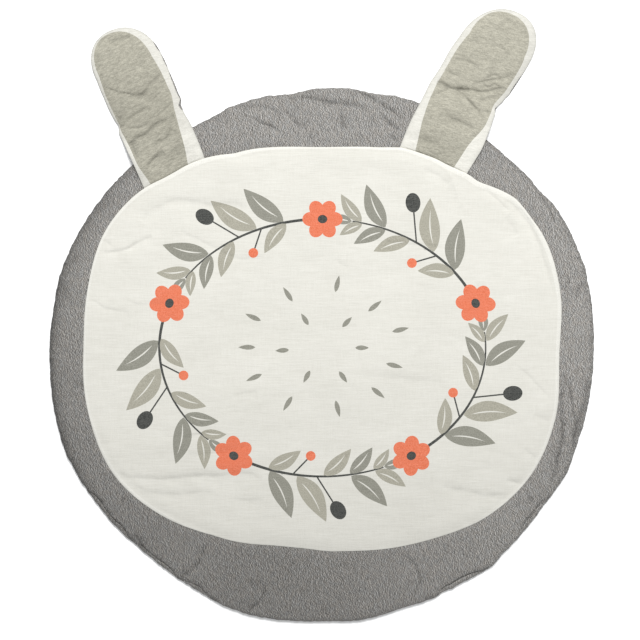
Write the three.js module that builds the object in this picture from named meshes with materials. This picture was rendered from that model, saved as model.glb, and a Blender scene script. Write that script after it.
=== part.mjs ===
// A round padded nursery rug with two ear flaps, lying on a floor.
// Units are millimetres. The origin is on the floor under the middle of the round, +Y runs towards the ears
// and +Z is up. Angles are measured from +X towards +Y.
import * as THREE from 'three';

// Thicknesses and heights of the filled round
const ringCrown = 12.6;      // top of the grey ring between its two seams
const panelCrown = 13.6;     // top of the filling under the white panel
const seamFloor = 10.2;      // bottom of the sewn trough along the panel's outline
const ringRise = 14;         // width over which the ring swells from that trough
const panelRise = 26;        // width over which the panel swells from it
const sheetThickness = 1.2;  // the panel's cloth with its turned-under edge
const clearGap = 0.3;        // between pieces that are sewn face to face
const segments = 120;        // sides of every ring of points

// The outline, every 15 degrees: where the rim and the panel's sewn edge lie
const outlineStep = 15;
const outline = [
  { angle: 0, rim: 474, panel: 413 },
  { angle: 15, rim: 480, panel: 429 },
  { angle: 30, rim: 483, panel: 437 },
  { angle: 45, rim: 473, panel: 417 },
  { angle: 60, rim: 472, panel: 396 },
  { angle: 75, rim: 470, panel: 374 },
  { angle: 90, rim: 466, panel: 362 },
  { angle: 105, rim: 461, panel: 374 },
  { angle: 120, rim: 459, panel: 398 },
  { angle: 135, rim: 469, panel: 424 },
  { angle: 150, rim: 475, panel: 436 },
  { angle: 165, rim: 480, panel: 425 },
  { angle: 180, rim: 477, panel: 416 },
  { angle: 195, rim: 479, panel: 421 },
  { angle: 210, rim: 476, panel: 420 },
  { angle: 225, rim: 467, panel: 397 },
  { angle: 240, rim: 467, panel: 366 },
  { angle: 255, rim: 471, panel: 344 },
  { angle: 270, rim: 466, panel: 340 },
  { angle: 285, rim: 466, panel: 353 },
  { angle: 300, rim: 470, panel: 373 },
  { angle: 315, rim: 469, panel: 402 },
  { angle: 330, rim: 470, panel: 420 },
  { angle: 345, rim: 472, panel: 421 },
];

// Bumps and dents of the two outlines: angle, half width in degrees, and how far out, negative for a dent
const rimBumps = [
  { angle: 18, half: 3, out: 2.1 },
  { angle: 37, half: 2.6, out: -3.2 },
  { angle: 79, half: 3, out: -4.6 },
  { angle: 97, half: 3.6, out: -4.8 },
  { angle: 104, half: 2.6, out: 2.2 },
  { angle: 111, half: 3, out: 2.6 },
  { angle: 116, half: 2.4, out: -2.4 },
  { angle: 170, half: 4.5, out: -2.4 },
  { angle: 200, half: 3.5, out: 2.2 },
  { angle: 220, half: 3.5, out: 2.2 },
  { angle: 249, half: 8, out: 1.8 },
  { angle: 278, half: 4.5, out: 3.5 },
  { angle: 289, half: 3, out: -3 },
  { angle: 298, half: 2.8, out: -2 },
  { angle: 308, half: 3, out: 4.2 },
  { angle: 334, half: 4, out: 3.8 },
];
const panelBumps = [
  { angle: 39, half: 4, out: 6.2 },
  { angle: 48, half: 3, out: -6 },
  { angle: 55, half: 4.5, out: -5 },
  { angle: 69, half: 4, out: 4.5 },
  { angle: 114, half: 3.5, out: -3.6 },
  { angle: 131, half: 5, out: -5.6 },
  { angle: 185, half: 7, out: 2.2 },
  { angle: 247, half: 7, out: 3 },
  { angle: 272, half: 5, out: 2.6 },
];

// The rim's section, from the crown out to the floor. Where the rim has rolled up, the seam lies on the top.
const rimSection = [
  { inset: 17, height: 12.4, rolledInset: 22, rolledHeight: 12.3 },
  { inset: 10, height: 11.5, rolledInset: 15.5, rolledHeight: 11.4 },
  { inset: 3.6, height: 9.3, rolledInset: 11.4, rolledHeight: 10.2 },
  { inset: 1.4, height: 6.2, rolledInset: 9, rolledHeight: 8.6 },
  { inset: 0.2, height: 4.8, rolledInset: 6, rolledHeight: 9.1 },
  { inset: 0.6, height: 3, rolledInset: 0.8, rolledHeight: 5.4 },
  { inset: 3.4, height: 1.1, rolledInset: 3.4, rolledHeight: 1.5 },
  { inset: 9, height: 0, rolledInset: 9, rolledHeight: 0 },
];
const rolledStretches = [
  { middle: 224, half: 19 },
  { middle: 323, half: 5 },
  { middle: 301, half: 5 },
];

// Soft troughs (positive depth) and ridges (negative depth) of the panel and of the ring
const panelFolds = [
  { from: [-300, 253], to: [-220, 272], width: 22, depth: 0.9 },
  { from: [-220, 272], to: [-148, 260], width: 22, depth: 0.7 },
  { from: [-389, 176], to: [-300, 200], width: 22, depth: 1.0 },
  { from: [-204, 188], to: [-132, 164], width: 22, depth: 0.7 },
  { from: [-325, -216], to: [-228, -213], width: 20, depth: 1.1 },
  { from: [-228, -213], to: [-125, -207], width: 20, depth: 1.2 },
  { from: [228, -235], to: [316, -244], width: 22, depth: 0.9 },
  { from: [92, 17], to: [211, 32], width: 24, depth: 0.9 },
  { from: [-13, -188], to: [60, -211], width: 24, depth: 0.8 },
  { from: [276, 298], to: [326, 265], width: 14, depth: -1.0 },
  { from: [326, 265], to: [367, 209], width: 14, depth: -1.2 },
  { from: [367, 209], to: [395, 144], width: 14, depth: -0.9 },
];
const ringFolds = [
  { from: [416, -29], to: [434, -55], width: 12, depth: 1.2 },
  { from: [419, -92], to: [414, -176], width: 14, depth: 1.5 },
  { from: [459, -92], to: [447, -165], width: 12, depth: 1.2 },
  { from: [456, 36], to: [473, 10], width: 12, depth: 1.0 },
  { from: [-111, 412], to: [-74, 391], width: 16, depth: 1.2 },
  { from: [78, 456], to: [125, 424], width: 16, depth: 1.3 },
  { from: [183, -428], to: [221, -410], width: 14, depth: 1.3 },
  { from: [262, -392], to: [291, -370], width: 12, depth: 1.3 },
];

// Broad unevenness of the lying filling
const swells = [
  { waveX: 0.021, waveY: 0.013, size: 0.35, phase: 0.4 },
  { waveX: -0.012, waveY: 0.024, size: 0.35, phase: 2.2 },
  { waveX: 0.034, waveY: -0.029, size: 0.2, phase: 4.0 },
];

// The ears. Each is filled, with its root tucked under the panel's edge, and bends down over the rim to the floor.
const earFill = 7;           // thickness of a filled ear
const earSeamHeight = 2;     // height of its side seam above its underside
const earRootFill = 1.4;     // thickness where the root is sewn down
const earRoll = 20;          // width over which its top swells from the side seam
const earUnderRoll = 6;      // width over which its underside lifts to the side seam
const earTuck = 9;           // reach of the root under the panel's edge
const earSwell = 42;         // length over which the root swells to the full filling
const earLift = 0.5;         // clearance of the sewn root above the ring
const rimLift = 2;           // clearance of the bending ear above the rim
const drapeLength = 95;      // from the rim's shoulder to where the ear lies on the floor
const rootBlend = 110;       // length over which the ear's rows turn from the panel's outline to straight across
const tipPower = 2.2;        // roundness of the tip, 2 is an ellipse
const pocketDepth = earLift + earRootFill + 2 * clearGap;
const pocketFade = 3;        // degrees over which the pocket for an ear's root ends at each side

const ears = [
  {
    name: 'ear_left',
    root: [-258.5, 316.3],
    lean: -21.3,
    pocket: { middle: 129, half: 9.5 },
    roundFrom: 198,
    tip: { along: 274, across: -12 },
    sections: [
      { along: -20, left: -59, right: 59 },
      { along: 35, left: -62, right: 60 },
      { along: 70, left: -63, right: 57 },
      { along: 95, left: -61, right: 53 },
      { along: 120, left: -62, right: 58 },
      { along: 145, left: -65, right: 57 },
      { along: 180, left: -69, right: 55 },
      { along: 212, left: -68, right: 52 },
    ],
    folds: [
      { from: [-381, 466], to: [-328, 452], width: 9, depth: 2.2 },
      { from: [-328, 452], to: [-281, 489], width: 9, depth: 2.4 },
      { from: [-349, 405], to: [-298, 437], width: 8, depth: 1.7 },
      { from: [-337, 365], to: [-298, 400], width: 8, depth: 1.6 },
      { from: [-298, 400], to: [-263, 437], width: 8, depth: 1.8 },
      { from: [-295, 337], to: [-274, 367], width: 9, depth: 1.1 },
    ],
  },
  {
    name: 'ear_right',
    root: [193.7, 339.9],
    lean: 24,
    pocket: { middle: 60.3, half: 10.5 },
    roundFrom: 216,
    tip: { along: 296, across: 30 },
    sections: [
      { along: -20, left: -63, right: 62 },
      { along: 24, left: -64, right: 66 },
      { along: 50, left: -64, right: 69 },
      { along: 86, left: -61, right: 68 },
      { along: 110, left: -60, right: 66 },
      { along: 124, left: -59, right: 61 },
      { along: 140, left: -57, right: 66 },
      { along: 158, left: -55, right: 74 },
      { along: 193, left: -51, right: 80 },
      { along: 220, left: -43, right: 84 },
    ],
    folds: [
      { from: [203, 468], to: [262, 461], width: 9, depth: 2.4 },
      { from: [262, 461], to: [319, 465], width: 9, depth: 2.3 },
      { from: [241, 459], to: [288, 414], width: 9, depth: 2.0 },
      { from: [193, 447], to: [214, 457], width: 8, depth: 1.3 },
      { from: [235, 409], to: [279, 398], width: 10, depth: 1.1 },
    ],
  },
];

// Rows of points: fractions of the panel's flat middle, then distances inside and outside its sewn edge
const panelFractions = [0.1, 0.21, 0.32, 0.43, 0.54, 0.64, 0.74, 0.83, 0.92, 1];
const panelEdgeInsets = [15, 7];
const sheetEdgeInset = 0.4;
const troughOutsets = [4, 9, 14];
const ringFractions = [0.36, 0.7];
const earAcross = 10;
const earRootRows = [0, 4, 9, 13, 18, 25, 34];
const earMiddleRows = 13;
const earTipAngles = [14, 28, 42, 55, 67, 78];

const heatherGrey = new THREE.MeshStandardMaterial({ color: 0x8f8d89, roughness: 0.95, metalness: 0 });
const offWhite = new THREE.MeshStandardMaterial({ color: 0xe6e4dc, roughness: 0.9, metalness: 0 });
const earCotton = new THREE.MeshStandardMaterial({ color: 0xe2e0d6, roughness: 0.9, metalness: 0 });

const radians = THREE.MathUtils.degToRad;
const lerp = THREE.MathUtils.lerp;
const clamp = THREE.MathUtils.clamp;
const smooth = (t) => THREE.MathUtils.smoothstep(t, 0, 1);
const swell = (t) => 1 - (1 - clamp(t, 0, 1)) ** 2;

// Cubic through four even values, between the second and the third
function cubic(a, b, c, d, t) {
  const slopeIn = (c - a) / 2;
  const slopeOut = (d - b) / 2;
  return b + t * (slopeIn + t * (3 * (c - b) - 2 * slopeIn - slopeOut + t * (2 * (b - c) + slopeIn + slopeOut)));
}

function outlineAt(column, theta) {
  const place = THREE.MathUtils.euclideanModulo(THREE.MathUtils.radToDeg(theta), 360) / outlineStep;
  const row = Math.floor(place);
  const value = (shift) => outline[(row + shift + outline.length) % outline.length][column];
  return cubic(value(-1), value(0), value(1), value(2), place - row);
}

// Degrees between an angle in radians and a middle in degrees
function degreesAway(theta, middle) {
  const turn = THREE.MathUtils.radToDeg(theta) - middle;
  return Math.abs(THREE.MathUtils.euclideanModulo(turn + 180, 360) - 180);
}

const bumpsAt = (bumps, theta) => bumps.reduce(
  (sum, bump) => sum + bump.out * Math.exp(-((degreesAway(theta, bump.angle) / bump.half) ** 2)),
  0,
);

const rimRadius = (theta) => outlineAt('rim', theta) + bumpsAt(rimBumps, theta);
const panelRadius = (theta) => outlineAt('panel', theta) + bumpsAt(panelBumps, theta);

// How far an angle is inside a stretch of the outline: 1 at its middle, 0 past its end
function inStretch(theta, stretch, fade) {
  return smooth((stretch.half + fade / 2 - degreesAway(theta, stretch.middle)) / fade);
}

function foldDepth(folds, x, y) {
  let depth = 0;
  for (const fold of folds) {
    const [x0, y0] = fold.from;
    const run = [fold.to[0] - x0, fold.to[1] - y0];
    const share = clamp(((x - x0) * run[0] + (y - y0) * run[1]) / (run[0] ** 2 + run[1] ** 2), 0, 1);
    const away = Math.hypot(x - x0 - share * run[0], y - y0 - share * run[1]);
    depth += fold.depth * Math.exp(-((away / fold.width) ** 2));
  }
  return depth;
}

function swellHeight(x, y) {
  return swells.reduce((sum, s) => sum + s.size * Math.sin(s.waveX * x + s.waveY * y + s.phase), 0);
}

// Top of the filling at a polar place, as it would be with no ear sewn in
function padHeight(theta, radius) {
  const x = radius * Math.cos(theta);
  const y = radius * Math.sin(theta);
  const fromSeam = radius - panelRadius(theta);
  if (fromSeam <= 0) {
    const full = swell(-fromSeam / panelRise);
    return seamFloor + (panelCrown - seamFloor + swellHeight(x, y) - foldDepth(panelFolds, x, y)) * full;
  }
  const full = swell(fromSeam / ringRise);
  return seamFloor + (ringCrown - seamFloor + swellHeight(x, y) - foldDepth(ringFolds, x, y)) * full;
}

// The same with the pockets that the ears' roots are sewn into
function bodyHeight(theta, radius) {
  const fromSeam = radius - panelRadius(theta);
  const inward = smooth((fromSeam + panelRise) / (panelRise - earTuck - 2));
  const outward = 1 - smooth((fromSeam - troughOutsets[0]) / (troughOutsets[2] + 6));
  const pocket = ears.reduce((sum, ear) => sum + inStretch(theta, ear.pocket, pocketFade), 0);
  return padHeight(theta, radius) - pocketDepth * pocket * inward * outward;
}

const polarPoint = (theta, radius, z) => new THREE.Vector3(radius * Math.cos(theta), radius * Math.sin(theta), z);

function ringOf(pointAt) {
  return Array.from({ length: segments }, (_, i) => pointAt((i / segments) * 2 * Math.PI));
}

// A closed solid through loops of points, closed to one point at each end
function loftedSolid(start, loops, end) {
  const count = loops[0].length;
  const points = [start, ...loops.flat(), end];
  const last = points.length - 1;
  const index = [];
  for (let i = 0; i < count; i += 1) {
    const next = (i + 1) % count;
    index.push(0, 1 + next, 1 + i);
    for (let k = 0; k + 1 < loops.length; k += 1) {
      const near = 1 + k * count;
      const far = near + count;
      index.push(...quadFaces(points, near + i, near + next, far + next, far + i));
    }
    index.push(last, last - count + i, last - count + next);
  }
  const geometry = new THREE.BufferGeometry().setFromPoints(points);
  geometry.setIndex(outwardFaces(points, index));
  geometry.computeVertexNormals();
  return geometry;
}

// Two faces split along the shorter diagonal seen from above, so that layers with the same plan fold alike
function quadFaces(points, a, b, c, d) {
  const planLength = (p, q) => Math.hypot(points[p].x - points[q].x, points[p].y - points[q].y);
  return planLength(a, c) <= planLength(b, d) ? [a, b, c, a, c, d] : [a, b, d, b, c, d];
}

function outwardFaces(points, index) {
  let volume = 0;
  for (let i = 0; i < index.length; i += 3) {
    const [a, b, c] = [points[index[i]], points[index[i + 1]], points[index[i + 2]]];
    volume += a.dot(new THREE.Vector3().crossVectors(b, c));
  }
  return volume > 0 ? index : index.reverse();
}

// The panel's rows of points as radii, from the middle to its sewn edge
function panelRows() {
  const flat = panelFractions.map((f) => (theta) => f * (panelRadius(theta) - panelRise));
  const dip = panelEdgeInsets.map((inset) => (theta) => panelRadius(theta) - inset);
  return [...flat, ...dip];
}

function matBody() {
  const loops = panelRows().map((radius) => ringOf((t) => polarPoint(t, radius(t), bodyHeight(t, radius(t)))));
  for (const outset of [0, ...troughOutsets]) {
    loops.push(ringOf((t) => polarPoint(t, panelRadius(t) + outset, bodyHeight(t, panelRadius(t) + outset))));
  }
  for (const fraction of ringFractions) {
    const radius = (t) => lerp(panelRadius(t) + ringRise, rimRadius(t) - rimSection[0].rolledInset, fraction);
    loops.push(ringOf((t) => polarPoint(t, radius(t), bodyHeight(t, radius(t)))));
  }
  for (const row of rimSection) {
    loops.push(ringOf((t) => {
      const rolled = rolledStretches.reduce((sum, s) => sum + inStretch(t, s, 6), 0);
      const radius = rimRadius(t) - lerp(row.inset, row.rolledInset, rolled);
      const uneven = (bodyHeight(t, radius) - ringCrown) * (row.height / ringCrown) ** 4;
      return polarPoint(t, radius, lerp(row.height, row.rolledHeight, rolled) + uneven);
    }));
  }
  return loftedSolid(polarPoint(0, 0, bodyHeight(0, 0)), loops, new THREE.Vector3(0, 0, 0));
}

function topPanel() {
  const edge = (theta) => panelRadius(theta) - sheetEdgeInset;
  const rows = [...panelRows(), edge];
  const layer = (lift) => rows.map((radius) => ringOf((t) => polarPoint(t, radius(t), padHeight(t, radius(t)) + lift)));
  const under = layer(clearGap).reverse();
  const top = layer(clearGap + sheetThickness);
  const middle = padHeight(0, 0) + clearGap;
  return loftedSolid(polarPoint(0, 0, middle + sheetThickness), [...top, ...under], polarPoint(0, 0, middle));
}

// Height of an ear's underside: close above the ring, clear of the rim, then down to the floor
function earUnderside(x, y) {
  const theta = Math.atan2(y, x);
  const radius = Math.hypot(x, y);
  const shoulder = rimRadius(theta) - rimSection[0].inset;
  if (radius < shoulder) {
    const outward = smooth((radius - panelRadius(theta) - ringRise) / (shoulder - panelRadius(theta) - ringRise));
    return bodyHeight(theta, radius) + lerp(earLift, rimLift, outward);
  }
  const top = bodyHeight(theta, shoulder) + rimLift;
  return top * (1 - smooth((radius - shoulder) / drapeLength));
}

function earEdge(ear, side, along) {
  const rows = ear.sections;
  const last = rows.length - 1;
  const place = rows.findIndex((row) => row.along > along);
  const row = place < 0 ? last - 1 : Math.max(0, place - 1);
  const value = (shift) => rows[clamp(row + shift, 0, last)][side];
  const share = clamp((along - rows[row].along) / (rows[row + 1].along - rows[row].along), 0, 1);
  return cubic(value(-1), value(0), value(1), value(2), share);
}

// Middle and half width of an ear at a distance along it, rounded off towards the tip
function earSpan(ear, along) {
  const straight = Math.min(along, ear.roundFrom);
  const left = earEdge(ear, 'left', straight);
  const right = earEdge(ear, 'right', straight);
  const past = clamp((along - ear.roundFrom) / (ear.tip.along - ear.roundFrom), 0, 1);
  return {
    middle: lerp((left + right) / 2, ear.tip.across, past),
    half: ((right - left) / 2) * (1 - past ** tipPower) ** (1 / tipPower),
  };
}

function earPlace(ear, along, across) {
  const lean = radians(ear.lean);
  const x = ear.root[0] + along * Math.sin(lean) + across * Math.cos(lean);
  const y = ear.root[1] + along * Math.cos(lean) - across * Math.sin(lean);
  return [x, y];
}

// Distance along the ear at which a line beside its middle meets the tucked edge under the panel
function tuckedStart(ear, across) {
  let low = -80;
  let high = 80;
  for (let step = 0; step < 30; step += 1) {
    const middle = (low + high) / 2;
    const [x, y] = earPlace(ear, middle, across);
    const inside = Math.hypot(x, y) < panelRadius(Math.atan2(y, x)) - earTuck;
    if (inside) low = middle;
    else high = middle;
  }
  return low;
}

function earPoint(ear, row, across, isTop) {
  const start = tuckedStart(ear, across * earSpan(ear, 0).half);
  const along = row + lerp(start, -earTuck, smooth(row / rootBlend));
  const span = earSpan(ear, along);
  const [x, y] = earPlace(ear, along, span.middle + across * span.half);
  const grown = smooth((row - earTuck - 3) / earSwell);
  const seam = lerp(earRootFill / 2, earSeamHeight, grown);
  const fill = lerp(earRootFill, earFill, grown);
  const fromSide = span.half * (1 - Math.abs(across));
  const fromTip = ear.tip.along - along;
  const rest = earUnderside(x, y);
  if (isTop) {
    const full = swell(fromSide / earRoll) * swell(fromTip / earRoll);
    return new THREE.Vector3(x, y, rest + seam + (fill - seam - grown * foldDepth(ear.folds, x, y)) * full);
  }
  const flat = swell(fromSide / earUnderRoll) * swell(fromTip / earUnderRoll);
  return new THREE.Vector3(x, y, rest + seam * (1 - flat));
}

function earFlap(ear) {
  const firstMiddle = earRootRows.at(-1);
  const lastMiddle = ear.roundFrom + earTuck;
  const rows = [...earRootRows];
  for (let i = 1; i <= earMiddleRows; i += 1) rows.push(lerp(firstMiddle, lastMiddle, i / earMiddleRows));
  const tipLength = ear.tip.along - ear.roundFrom;
  for (const angle of earTipAngles) rows.push(lastMiddle + tipLength * Math.sin(radians(angle)));
  const across = Array.from({ length: earAcross + 1 }, (_, i) => Math.sin(Math.PI * (i / earAcross - 0.5)));
  const loops = rows.map((row) => [
    ...across.map((a) => earPoint(ear, row, a, true)),
    ...across.slice(1, -1).reverse().map((a) => earPoint(ear, row, a, false)),
  ]);
  const root = earPoint(ear, 0, 0, false).lerp(earPoint(ear, 0, 0, true), 0.5);
  const [tipX, tipY] = earPlace(ear, ear.tip.along, ear.tip.across);
  return loftedSolid(root, loops, new THREE.Vector3(tipX, tipY, earSeamHeight));
}

function named(name, geometry, material) {
  const mesh = new THREE.Mesh(geometry, material);
  mesh.name = name;
  return mesh;
}

const rug = new THREE.Group();
rug.add(named('mat_body', matBody(), heatherGrey));
rug.add(named('top_panel', topPanel(), offWhite));
for (const ear of ears) rug.add(named(ear.name, earFlap(ear), earCotton));

export default rug;
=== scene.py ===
"""The looks of a padded nursery rug: a printed off-white panel in a heather-grey round, with two ear flaps.
Metres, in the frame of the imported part: +Z up, +Y towards the ears, the floor at z = 0."""

import math

import bpy
import numpy as np
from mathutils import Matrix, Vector, noise
from mathutils.geometry import delaunay_2d_cdt
from mathutils.kdtree import KDTree


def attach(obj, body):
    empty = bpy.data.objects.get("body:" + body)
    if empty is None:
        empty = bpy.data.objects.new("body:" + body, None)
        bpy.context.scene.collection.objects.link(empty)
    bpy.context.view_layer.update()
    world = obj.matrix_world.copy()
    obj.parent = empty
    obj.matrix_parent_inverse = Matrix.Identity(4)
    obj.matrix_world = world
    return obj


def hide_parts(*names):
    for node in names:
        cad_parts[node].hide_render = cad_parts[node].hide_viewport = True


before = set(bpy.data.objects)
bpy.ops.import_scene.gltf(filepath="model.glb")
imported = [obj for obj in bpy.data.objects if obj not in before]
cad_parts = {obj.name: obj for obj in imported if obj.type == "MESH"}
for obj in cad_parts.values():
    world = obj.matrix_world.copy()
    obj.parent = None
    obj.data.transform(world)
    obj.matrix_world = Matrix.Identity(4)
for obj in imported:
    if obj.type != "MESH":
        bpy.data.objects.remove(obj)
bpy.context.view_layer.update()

# Heights and thicknesses of the filled round and of the cloth
RING_CROWN = 0.0126
PANEL_CROWN = 0.0125
SEAM_FLOOR = 0.0102         # bottom of the sewn trough between the ring and the panel
RING_RISE = 0.014           # distance over which the filling rises from the seam to the ring's crown
PANEL_RISE = 0.026          # the same towards the panel's middle
SHEET = 0.0012              # thickness of the panel's cloth
CLEAR = 0.0003              # clearance between two pieces
STAND_OUT = 0.0004          # how far the jersey stands out past the frame's outline
SEAM_STEP = 0.0005          # the panel's sewn edge stands this little above the ring's
SEAM_RIDGE = 0.0005         # how far the turned-under allowance lifts the panel just inside its seam
HIDDEN_DROP = 0.0036        # the filling under the panel is held down clear of its creases
OUTLINE_SIDES = 120         # sides of the frame's rings of points
TURNS = 1100                # sides of the round's rings of points here
HIDDEN_SHARES = (0.3, 0.6, 0.82)    # its rows of points under the panel, as shares of the panel's radius
HIDDEN_INSETS = (0.02, 0.004)       # and the last of them, by their distance from its edge
TROUGH_ROWS = [0.0001, 0.0009, 0.0018, 0.0030, 0.0045, 0.0065, 0.0090, 0.0115, 0.0140]    # outside the seam
RING_ROWS = 36              # rows of points from the trough over the ring's top
UNDER_ROWS = 9              # and over the underside
UNDER_SHARES = (0.97, 0.05)         # its first and last row, as shares of its radius
UNDER_WRINKLE = 0.0005      # height of its faint wrinkles
NOISE_RADIUS = 0.45         # radius at which the lengths of wrinkles round the rug are true

# The rim's section from its crown to the floor: how far in from the outline, and how high.
# Where the rim has rolled up, its seam lies on the top.
RIM_SECTION = [
    # inset, height, rolled inset, rolled height
    (0.0170, 0.0124, 0.0220, 0.0124),
    (0.0100, 0.0116, 0.0160, 0.0119),
    (0.0050, 0.0100, 0.0128, 0.0110),
    (0.0022, 0.0080, 0.0110, 0.0097),
    (0.0012, 0.0068, 0.0100, 0.0082),
    (0.0022, 0.0061, 0.0093, 0.0060),
    (0.0010, 0.0054, 0.0085, 0.0076),
    (0.0002, 0.0044, 0.0062, 0.0080),
    (0.0002, 0.0033, 0.0018, 0.0056),
    (0.0016, 0.0018, 0.0016, 0.0026),
    (0.0045, 0.0006, 0.0045, 0.0008),
    (0.0090, 0.0000, 0.0090, 0.0000),
]
SEAM_ROW = 5                # the row that is drawn in to the rim seam
SEAM_STEPS = (0, 0.5)       # rows from one named row to the next, beside the seam
OTHER_STEPS = (0, 0.34, 0.67)
ROLLED_FADE = 6             # degrees over which a rolled stretch ends at each side
ROLLED_SHARE = (0.80, 0.85, 1.1)    # how far it is rolled: mean, unevenness, most
ROLLED_STRETCHES = [
    # middle and half width in degrees
    (217, 6),
    (231.5, 6),
    (242, 3),
    (301, 5),
    (323, 3.5),
]

# The main light seen from above. Every crease drops steeply on its side and rises gently on the other.
LIGHT_FROM = (0.30, 0.95)
CREASE_REACH = 4            # how many of its widths away a crease still counts
CREASE_BOTTOM = 0.5         # share of its steep side's width that gets painted shade
PAINTED_SHADE_DEPTH = 0.0045         # a crease this deep gets the most painted shade
CREASE_WANDER = [(0.0011, 0.013, 0), (0.0006, 0.005, 2)]    # how far, over what length, seed
CREASE_UNEVEN = (0.6, 0.022, 89.0)      # share of its depth, over what length, seed

# Painted shade of the ring's brushed cloth, by angle round it, for how the light falls there (lighter where
# negative), and how much more where it turns down at the rim
RING_PAINTED_SHADE = [
    # angle in degrees, over its width, at the rim, reach inward
    (0, -0.24, 0.62, 0.006),
    (15, -0.16, 0.62, 0.0055),
    (28, -0.08, 0.85, 0.0055),
    (45, -0.03, 0.85, 0.0055),
    (62, -0.05, 0.55, 0.010),
    (90, -0.03, 0.60, 0.0065),
    (118, -0.06, 0.60, 0.009),
    (130, -0.08, 0.90, 0.010),
    (148, -0.12, 1.05, 0.011),
    (165, -0.16, 1.20, 0.012),
    (180, -0.14, 1.32, 0.010),
    (200, -0.05, 1.06, 0.010),
    (215, 0.03, 0.30, 0.006),
    (235, 0.00, -0.50, 0.007),
    (258, 0.08, -0.58, 0.007),
    (275, 0.02, -0.58, 0.007),
    (290, -0.12, -0.65, 0.005),
    (305, -0.20, -0.45, 0.007),
    (322, -0.24, -0.15, 0.008),
    (338, -0.18, 0.30, 0.010),
    (348, -0.23, 0.45, 0.008),
    (360, -0.24, 0.62, 0.006),
]

# Creases, and ridges where the depth is negative
PANEL_CREASES = [
    # points, width of the steep side, width of the gentle side, depth
    ([(-0.314, 0.232), (-0.302, 0.251), (-0.284, 0.258), (-0.263, 0.267), (-0.241, 0.269),
      (-0.214, 0.265), (-0.193, 0.260), (-0.171, 0.262), (-0.153, 0.262), (-0.132, 0.255)],
     0.0070, 0.0260, 0.0017),
    ([(-0.388, 0.178), (-0.368, 0.179), (-0.351, 0.181), (-0.337, 0.186), (-0.326, 0.193),
      (-0.311, 0.200), (-0.297, 0.206)], 0.0032, 0.0080, 0.0018),
    ([(-0.384, 0.199), (-0.375, 0.195), (-0.367, 0.190)], 0.0040, 0.0060, 0.0009),
    ([(-0.246, 0.216), (-0.232, 0.207), (-0.214, 0.199), (-0.197, 0.190), (-0.179, 0.183),
      (-0.165, 0.174), (-0.144, 0.167), (-0.123, 0.169), (-0.106, 0.172)], 0.0028, 0.0100, 0.0008),
    ([(-0.407, 0.097), (-0.389, 0.088), (-0.379, 0.081), (-0.363, 0.078), (-0.337, 0.074)],
     0.0026, 0.0090, 0.0008),
    ([(-0.340, 0.094), (-0.323, 0.088), (-0.302, 0.088), (-0.276, 0.090)], 0.0022, 0.0080, 0.0006),
    ([(-0.358, 0.157), (-0.346, 0.143), (-0.330, 0.130), (-0.316, 0.116)], 0.0030, 0.0080, 0.0002),
    ([(-0.158, 0.353), (-0.136, 0.347), (-0.113, 0.349)], 0.0040, 0.0100, 0.0006),
    ([(0.321, 0.270), (0.339, 0.256), (0.353, 0.242), (0.363, 0.225), (0.374, 0.200), (0.382, 0.179),
      (0.389, 0.157), (0.396, 0.134), (0.402, 0.106)], 0.0048, 0.0120, 0.0022),
    ([(0.283, 0.291), (0.293, 0.281), (0.307, 0.267), (0.326, 0.251)], 0.0022, 0.0060, 0.0010),
    ([(0.202, 0.333), (0.218, 0.319), (0.228, 0.302), (0.235, 0.279), (0.241, 0.256)],
     0.0050, 0.0060, -0.0012),
    ([(0.176, 0.321), (0.192, 0.316), (0.206, 0.309), (0.220, 0.295)], 0.0060, 0.0100, 0.0012),
    ([(0.094, 0.199), (0.127, 0.195), (0.157, 0.192), (0.185, 0.190), (0.209, 0.188)],
     0.0022, 0.0080, 0.0007),
    ([(0.022, 0.167), (0.034, 0.158), (0.045, 0.151)], 0.0040, 0.0080, 0.0007),
    ([(0.319, 0.239), (0.330, 0.225), (0.340, 0.207)], 0.0080, 0.0140, 0.0010),
    ([(-0.356, -0.204), (-0.340, -0.213), (-0.319, -0.214), (-0.293, -0.216), (-0.267, -0.216),
      (-0.241, -0.213), (-0.214, -0.211), (-0.188, -0.211), (-0.162, -0.209), (-0.139, -0.206),
      (-0.123, -0.209), (-0.106, -0.218)], 0.0056, 0.0220, 0.0019),
    ([(-0.335, -0.223), (-0.319, -0.232), (-0.302, -0.239), (-0.276, -0.242), (-0.249, -0.244),
      (-0.214, -0.241), (-0.186, -0.239)], 0.0050, 0.0180, 0.0012),
    ([(-0.157, -0.251), (-0.127, -0.255), (-0.102, -0.253)], 0.0060, 0.0140, 0.0009),
    ([(-0.235, -0.171), (-0.206, -0.174), (-0.162, -0.165), (-0.123, -0.158)], 0.0060, 0.0140, 0.0008),
    ([(-0.157, -0.071), (-0.136, -0.067), (-0.115, -0.064)], 0.0020, 0.0070, 0.0005),
    ([(-0.241, -0.144), (-0.206, -0.137), (-0.176, -0.136)], 0.0022, 0.0080, 0.0006),
    ([(0.211, -0.230), (0.232, -0.234), (0.249, -0.237), (0.267, -0.242), (0.288, -0.246),
      (0.311, -0.244), (0.333, -0.241)], 0.0062, 0.0200, 0.0015),
    ([(0.321, -0.218), (0.337, -0.223), (0.353, -0.225)], 0.0050, 0.0080, 0.0016),
    ([(0.057, -0.036), (0.101, -0.039), (0.136, -0.041), (0.171, -0.043), (0.209, -0.046)],
     0.0100, 0.0220, 0.0011),
    ([(0.333, -0.015), (0.354, -0.032), (0.370, -0.048), (0.384, -0.064), (0.396, -0.078)],
     0.0022, 0.0080, 0.0006),
    ([(0.066, -0.234), (0.083, -0.237), (0.101, -0.242)], 0.0040, 0.0080, 0.0010),
    ([(0.368, -0.104), (0.395, -0.116)], 0.0060, 0.0100, 0.0009),
    ([(0.351, -0.165), (0.374, -0.181)], 0.0040, 0.0080, 0.0008),
]
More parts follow.
